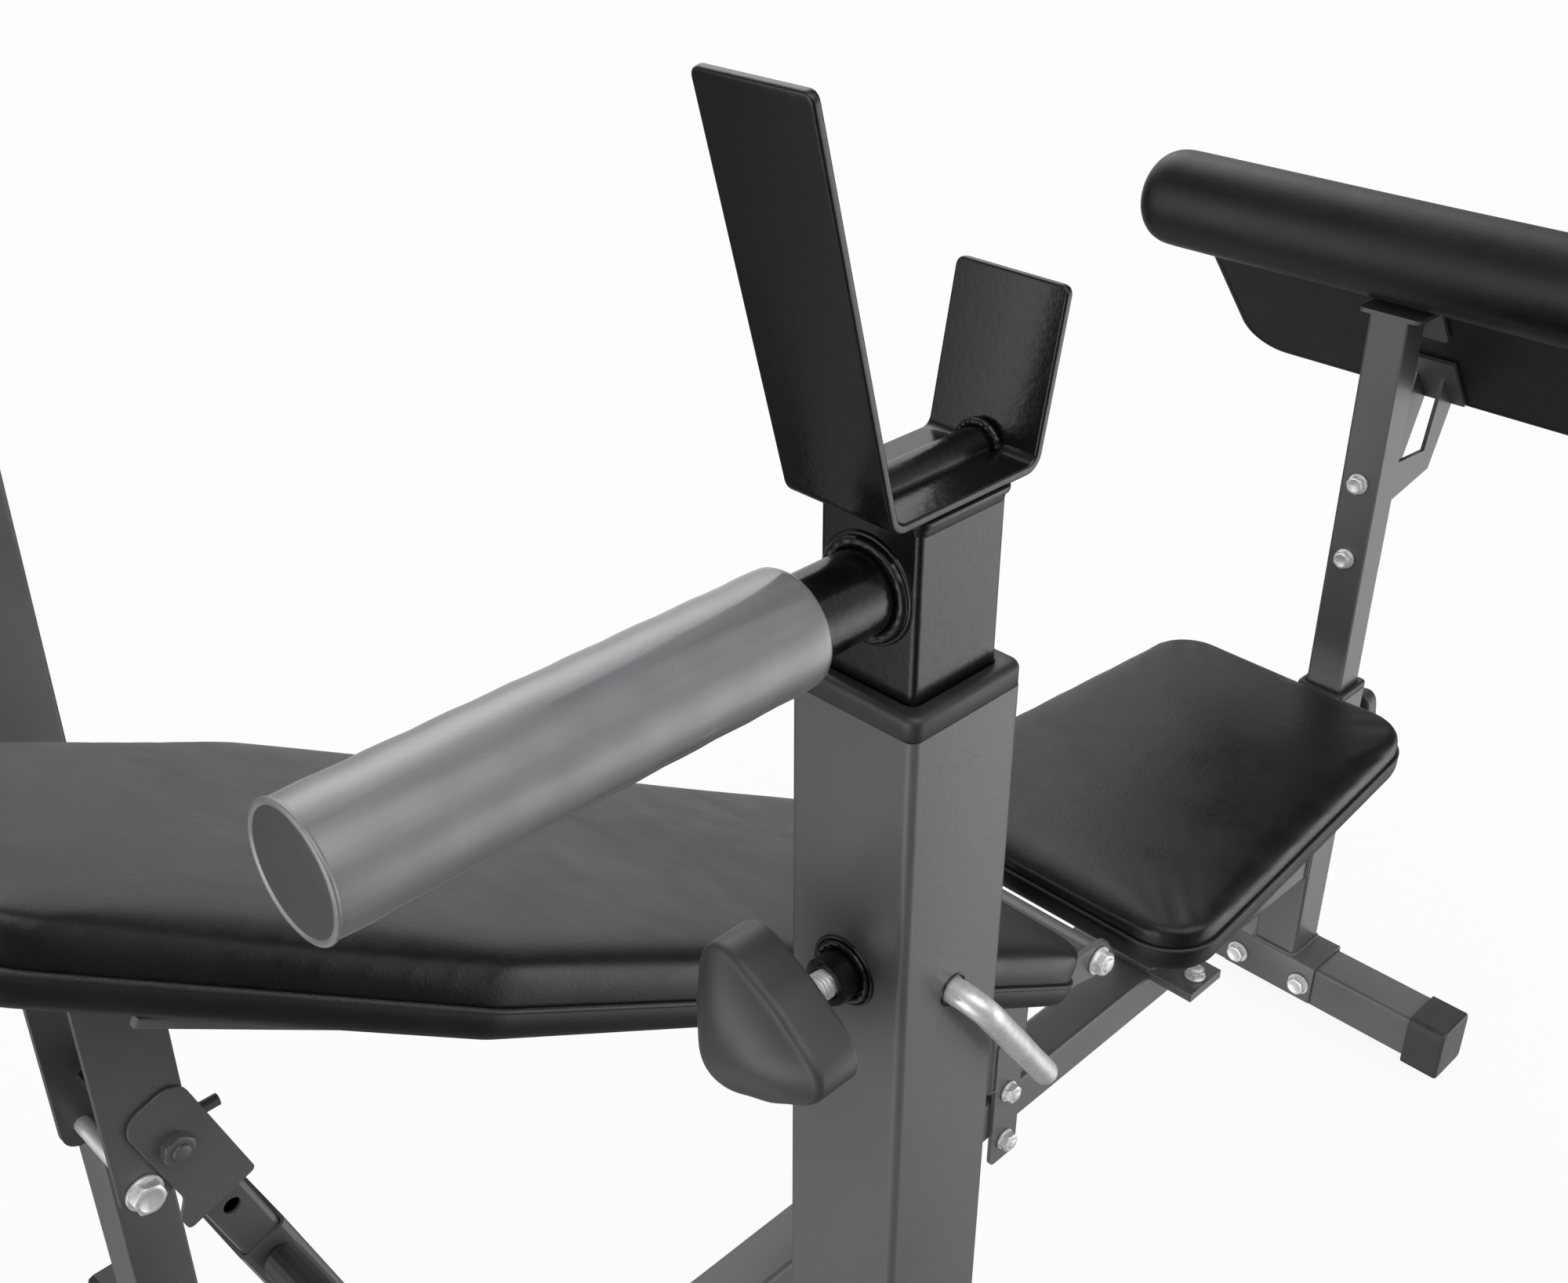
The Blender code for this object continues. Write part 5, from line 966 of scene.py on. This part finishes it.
# Flat bars and hanger plates under the backrest, drawn slimmer so that the board hides them from above
def makeBackrestFrame():
    bars = {"eye": 0.017, "start": 0.077, "end": 0.848, "top": -0.0191, "low": -0.0391, "tip": 0.0050, "bend": 0.560,
            "near": 0.0975, "far": 0.1025, "soft": 0.0006, "cross": 0.025, "shift": 0.0085, "reach": 0.0972}
    sideways = frameOf((0, 0, 0), xAxis, yAxis)
    eye, start, end, top, low, tip, waist, near, far, soft, cross, shift, reach = bars.values()
    outline = [(eye * cos(radians(turn)), eye * sin(radians(turn))) for turn in range(60, 271, 10)]
    outline += [(start, low), (waist, low), (end, top - tip),
                (end, top), (start, top)]
    for label, bar in zip(("left", "right"), mirroredSlabs(outline, near, far, soft, slope @ sideways)):
        addPiece("backrestBar_" + label, bar, "satin", "backrest", ["backrest_arm_" + label], 40)

    pivot, under = sum(boxOf("prop_pivot_bolt"), Vector()) / 2, top - 0.0003
    # the plates' upper corners lie under the board
    front, rear = pivot.y + 0.031, pivot.y - 0.010
    high, highest = (hingeZ + (y - hingeY) * tan(incline) + under / cos(incline) for y in (rear, front))
    corners = [(front, highest), (front, pivot.z - 0.032), (pivot.y + 0.010, pivot.z - 0.032), (rear, pivot.z - 0.012),
               (rear, high)]
    plate = roundedPolygon(corners, [0.001, 0.010, 0.010, 0.011, 0.001], 6)
    parts = mirroredSlabs(plate, 0.0303, 0.0343, soft, sideways)
    # a flat strap from bar to bar carries the plates
    out = under - cross / 2
    along = (pivot.y + shift - hingeY + out * sin(incline)) / cos(incline)
    strap = rectangle(0.024, 0.0024, 0.0008, 4)
    carrier = stack([(strap, -reach), (strap, reach)])
    parts.append(placed(carrier, slope @ frameOf((0, along, top - 0.0028), xAxis, yAxis)))
    addPiece("hangerSkin", merged(parts), "satin", "backrest", ["prop_hanger"], 38)
    # fork plates of the prop, outside the hanger plates, joined to its tube by two spacers
    down = sum(boxOf("prop_tube"), Vector()) / 2 - pivot
    down.x = 0
    down.normalize()
    lying = axesAt(pivot, down, (0, -down.z, down.y), xAxis)
    fork = [(-0.034, -0.021), (0.0545, -0.021), (0.0545, 0.022), (0.044, 0.022), (0.034, 0.014), (-0.034, 0.014)]
    fork = roundedPolygon(fork, [0.012, 0.003, 0.003, 0.004, 0.006, 0.012], 6)
    spacer = roundedPolygon([(0.036, -0.011), (0.052, -0.011), (0.052, 0.011), (0.036, 0.011)], 0.001, 3)
    forks = mirroredSlabs(fork, 0.0348, 0.0368, 0.0004, lying) + mirroredSlabs(spacer, 0.0298, 0.0349, 0.0004, lying)
    addPiece("propFork", merged(forks), "satin", "prop_upper", sharp=38)
    addBolt("stopBolt", Vector((0, pivot.y + 0.0195, pivot.z - 0.0195)), -xAxis, 0.0346, small, "zinc", "backrest")


def seatOutline(narrowing, spacing=0.008):
    rear, front = rearY - 0.630 - narrowing, rearY - 1.055 + narrowing
    wide, narrow = 0.1648 - narrowing, 0.1321 - narrowing
    corners = [(-narrow, front), (narrow, front), (wide, rear), (-wide, rear)]
    return evened(roundedPolygon(corners, 0.047, 12), spacing)


def makeSeat():
    pad = {"voxel": 0.0042, "ease": 1, "cap": 0.0034, "fill": 0.8, "seed": 4.1, "wave": 0.0004, "top": 0.4404,
           "low": 0.396, "seam": 0.4204}
    top, low, seam = pad["top"], pad["low"], pad["seam"]
    profile = [(0.0070, seam - 0.0095), (0.0040, seam - 0.0090), (0.0028, seam - 0.0070), (0.0024, top - 0.0080),
               (0.0029, top - 0.0052), (0.0043, top - 0.0028), (0.0068, top - 0.0010), (0.0110, top)]
    layers = [(0.0040, seam + 0.0008), (0.0022, seam), (0.0008, seam - 0.0020), (0.0003, seam - 0.0060),
              (0.0008, low + 0.0110), (0.0026, low + 0.0050), (0.0056, low + 0.0014), (0.0090, low + 0.0001),
              (0.0125, low), (0.0129, low + 0.0008)]
    run = [(x, y, seam - 0.0004) for x, y in seatOutline(0.0012, 0.006)]
    makePad("seat", pad, foamForm(seatOutline(0), profile, 0.0014), lambda spot: spot.z < seam + 0.0020,
            Matrix.Identity(4), "frame", seatOutline(0, 0.012), layers, run)


armPad = {"voxel": 0.0047, "ease": 2, "cap": 0.0042, "fill": 0.85, "seed": 7.3, "seam": 0.0126, "wave": 0.0004,
          "slope": radians(52.3), "length": 0.160, "half": 0.223, "slant": 0.05, "corner": 0.045, "board": 0.012,
          "top": 0.0512, "rollRadius": 0.0464, "rollHalf": 0.2774, "rollAlong": -0.0510, "rollOut": 0.0156,
          "rollEdge": 0.030}


def armOutline(start, end, narrowing, spacing=0.008):
    top, low = (armPad["half"] - armPad["slant"] * spot - narrowing for spot in (start, end))
    corners = [(-top, start), (top, start), (low, end), (-low, end)]
    return evened(roundedPolygon(corners, [0.004, 0.004, armPad["corner"], armPad["corner"]], 10), spacing)


def makePreacher():
    pad, lean, thick = armPad, armPad["slope"], armPad["board"]
    origin = (0, frontY - innerWidth / 2 - 0.007, 0.791)
    matrix = axesAt(origin, xAxis, (0, -cos(lean), -sin(lean)), (0, -sin(lean), cos(lean)))
    seam, top, edge = pad["seam"], pad["top"], pad["rollEdge"]
    profile = [(0.0070, seam - 0.0080), (0.0046, seam - 0.0076), (0.0036, seam - 0.0060), (0.0030, top - 0.0180),
               (0.0040, top - 0.0110), (0.0078, top - 0.0056), (0.0130, top - 0.0020), (0.0200, top - 0.0003)]
    form = foamForm(armOutline(-0.030, pad["length"], 0), profile, 0.0012)
    layers = []
    for angle in angles(pi / 2, 8):
        radius = pad["rollRadius"] - edge * (1 - sin(angle))
        layers.append((circle(radius, 72), edge * (1 - cos(angle)) - pad["rollHalf"]))
    layers += [(outline, -height) for outline, height in reversed(layers)]
    roll = placed(stack(layers), frameOf((0, pad["rollAlong"], pad["rollOut"]), xAxis, yAxis))
    layers = [(0.0040, thick), (0.0018, thick - 0.0006), (0.0006, thick - 0.0026), (0.0006, 0.0050),
              (0.0020, 0.0020), (0.0044, 0.0005), (0.0080, 0.0), (0.0084, 0.0006)]
    run = [(x, y, thick + 0.0001) for x, y in armOutline(0.004, pad["length"], 0.0012, 0.006) if y > 0.006]
    run.sort(key=lambda spot: atan2(spot[0], 0.02 - spot[1]) % (2 * pi))
    makePad("preacher", pad, merged([form, roll]), lambda spot: spot.z < seam + 0.0026 and spot.y > -0.021, matrix,
            "preacher_stand", armOutline(0.0015, pad["length"] - 0.001, 0.001, 0.012), layers, run, closed=False)


makeBackrest()
makeBackrestFrame()
makeSeat()
makePreacher()
print("pads made")


# Solids that stay get softened edges
softened = {0.0007: "main_rail rear_riser front_crossbar rear_crossbar preacher_post preacher_bracket seat_post "
                    "hinge_post prop_lug backrest_cross_tube prop_tube prop_sleeve",
            0.0010: "front_cap_left front_cap_right rear_cap_left rear_cap_right prop_pin"}
for width, names in softened.items():
    for name in names.split():
        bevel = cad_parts[name].modifiers.new("soften", "BEVEL")
        bevel.width = width
        bevel.segments = 2
        bevel.limit_method = "ANGLE"
        bevel.angle_limit = radians(32)
        bevel.harden_normals = True
        bevel.use_clamp_overlap = True


# Stage: pale floor, soft boxes and the camera of the photograph
def makeStage():
    stage = {"floor": (0.93, 0.93, 0.935), "glow": 0.92, "reach": 30.0}
    mesh = bmesh.new()
    bmesh.ops.create_grid(mesh, x_segments=4, y_segments=4, size=stage["reach"])
    data = written(mesh, bpy.data.meshes.new("floor"))
    floor = linked("floor", data)
    floor.location.z = -0.0002
    floor.visible_glossy = floor.visible_diffuse = floor.visible_shadow = False
    paint = Paint("floorPaper", fixed={"Base Color": (*stage["floor"], 1), "Roughness": 0.6, "Specular IOR Level": 0.2})
    glow = paint.node("ShaderNodeEmission", {}, {"Color": (1, 1, 1, 1), "Strength": 1.0})
    base = Wire(paint, paint.shader.outputs[0])
    mixed = paint.node("ShaderNodeMixShader", {}, {0: stage["glow"], 1: base, 2: glow})
    paint.tree.links.new(mixed.socket, paint.tree.nodes["Material Output"].inputs["Surface"])
    data.materials.append(paint.material)


# Studio surroundings: soft lobes of light, each a direction and a strength, and white where the camera looks
def makeSky():
    studio = {
        "tightness": 11.0, "ambient": 0.05,
        "lobes": [((-0.312, 0.286, 0.906), 1.50), ((-0.685, -0.121, 0.719), 2.10), ((0.637, -0.405, 0.656), 2.40),
                  ((0.287, 0.916, 0.281), 0.25), ((0.500, 0.850, 0.100), 0.90), ((0.700, -0.697, -0.156), 0.60),
                  ((-0.045, 0.975, -0.219), 2.90), ((-0.615, -0.737, -0.281), 2.30), ((0.685, -0.316, -0.656), 0.12),
                  ((0.300, 0.300, -0.900), 0.45)],
    }
    sky = Paint("studio", sky=True)
    heading = sky.node("ShaderNodeTexCoord", out="Generated")
    total = None
    for direction, strength in studio["lobes"]:
        toward = Vector(direction).normalized()
        facing = sky.node("ShaderNodeVectorMath", {"operation": "DOT_PRODUCT"}, {0: heading, 1: toward}, "Value")
        lobe = 2.718 ** ((facing - 1) * studio["tightness"]) * strength
        total = lobe if total is None else total + lobe
    seen = sky.node("ShaderNodeLightPath", out="Is Camera Ray")
    level = (total + studio["ambient"]) * (1 - seen) + seen
    sky.shader.inputs["Color"].default_value = (1, 1, 1, 1)
    sky.feed(sky.shader.inputs["Strength"], level)
    scene.world = sky.material


def makeCamera():
    lens = bpy.data.cameras.new("camera")
    lens.lens = 40.84
    lens.sensor_width = 36.0
    lens.dof.use_dof = False
    camera = linked("camera", lens)
    forward, right = Vector((0.6117, -0.6100, -0.5037)).normalized(), Vector((-0.706, -0.708, 0))
    right = (right - right.project(forward)).normalized()
    camera.matrix_world = axesAt((-0.7025, 0.90036, 1.34468), right, right.cross(forward), -forward)
    scene.camera = camera


makeStage()
makeSky()
makeCamera()
scene.view_settings.view_transform = "Standard"
scene.view_settings.look = "None"
print("stage set")
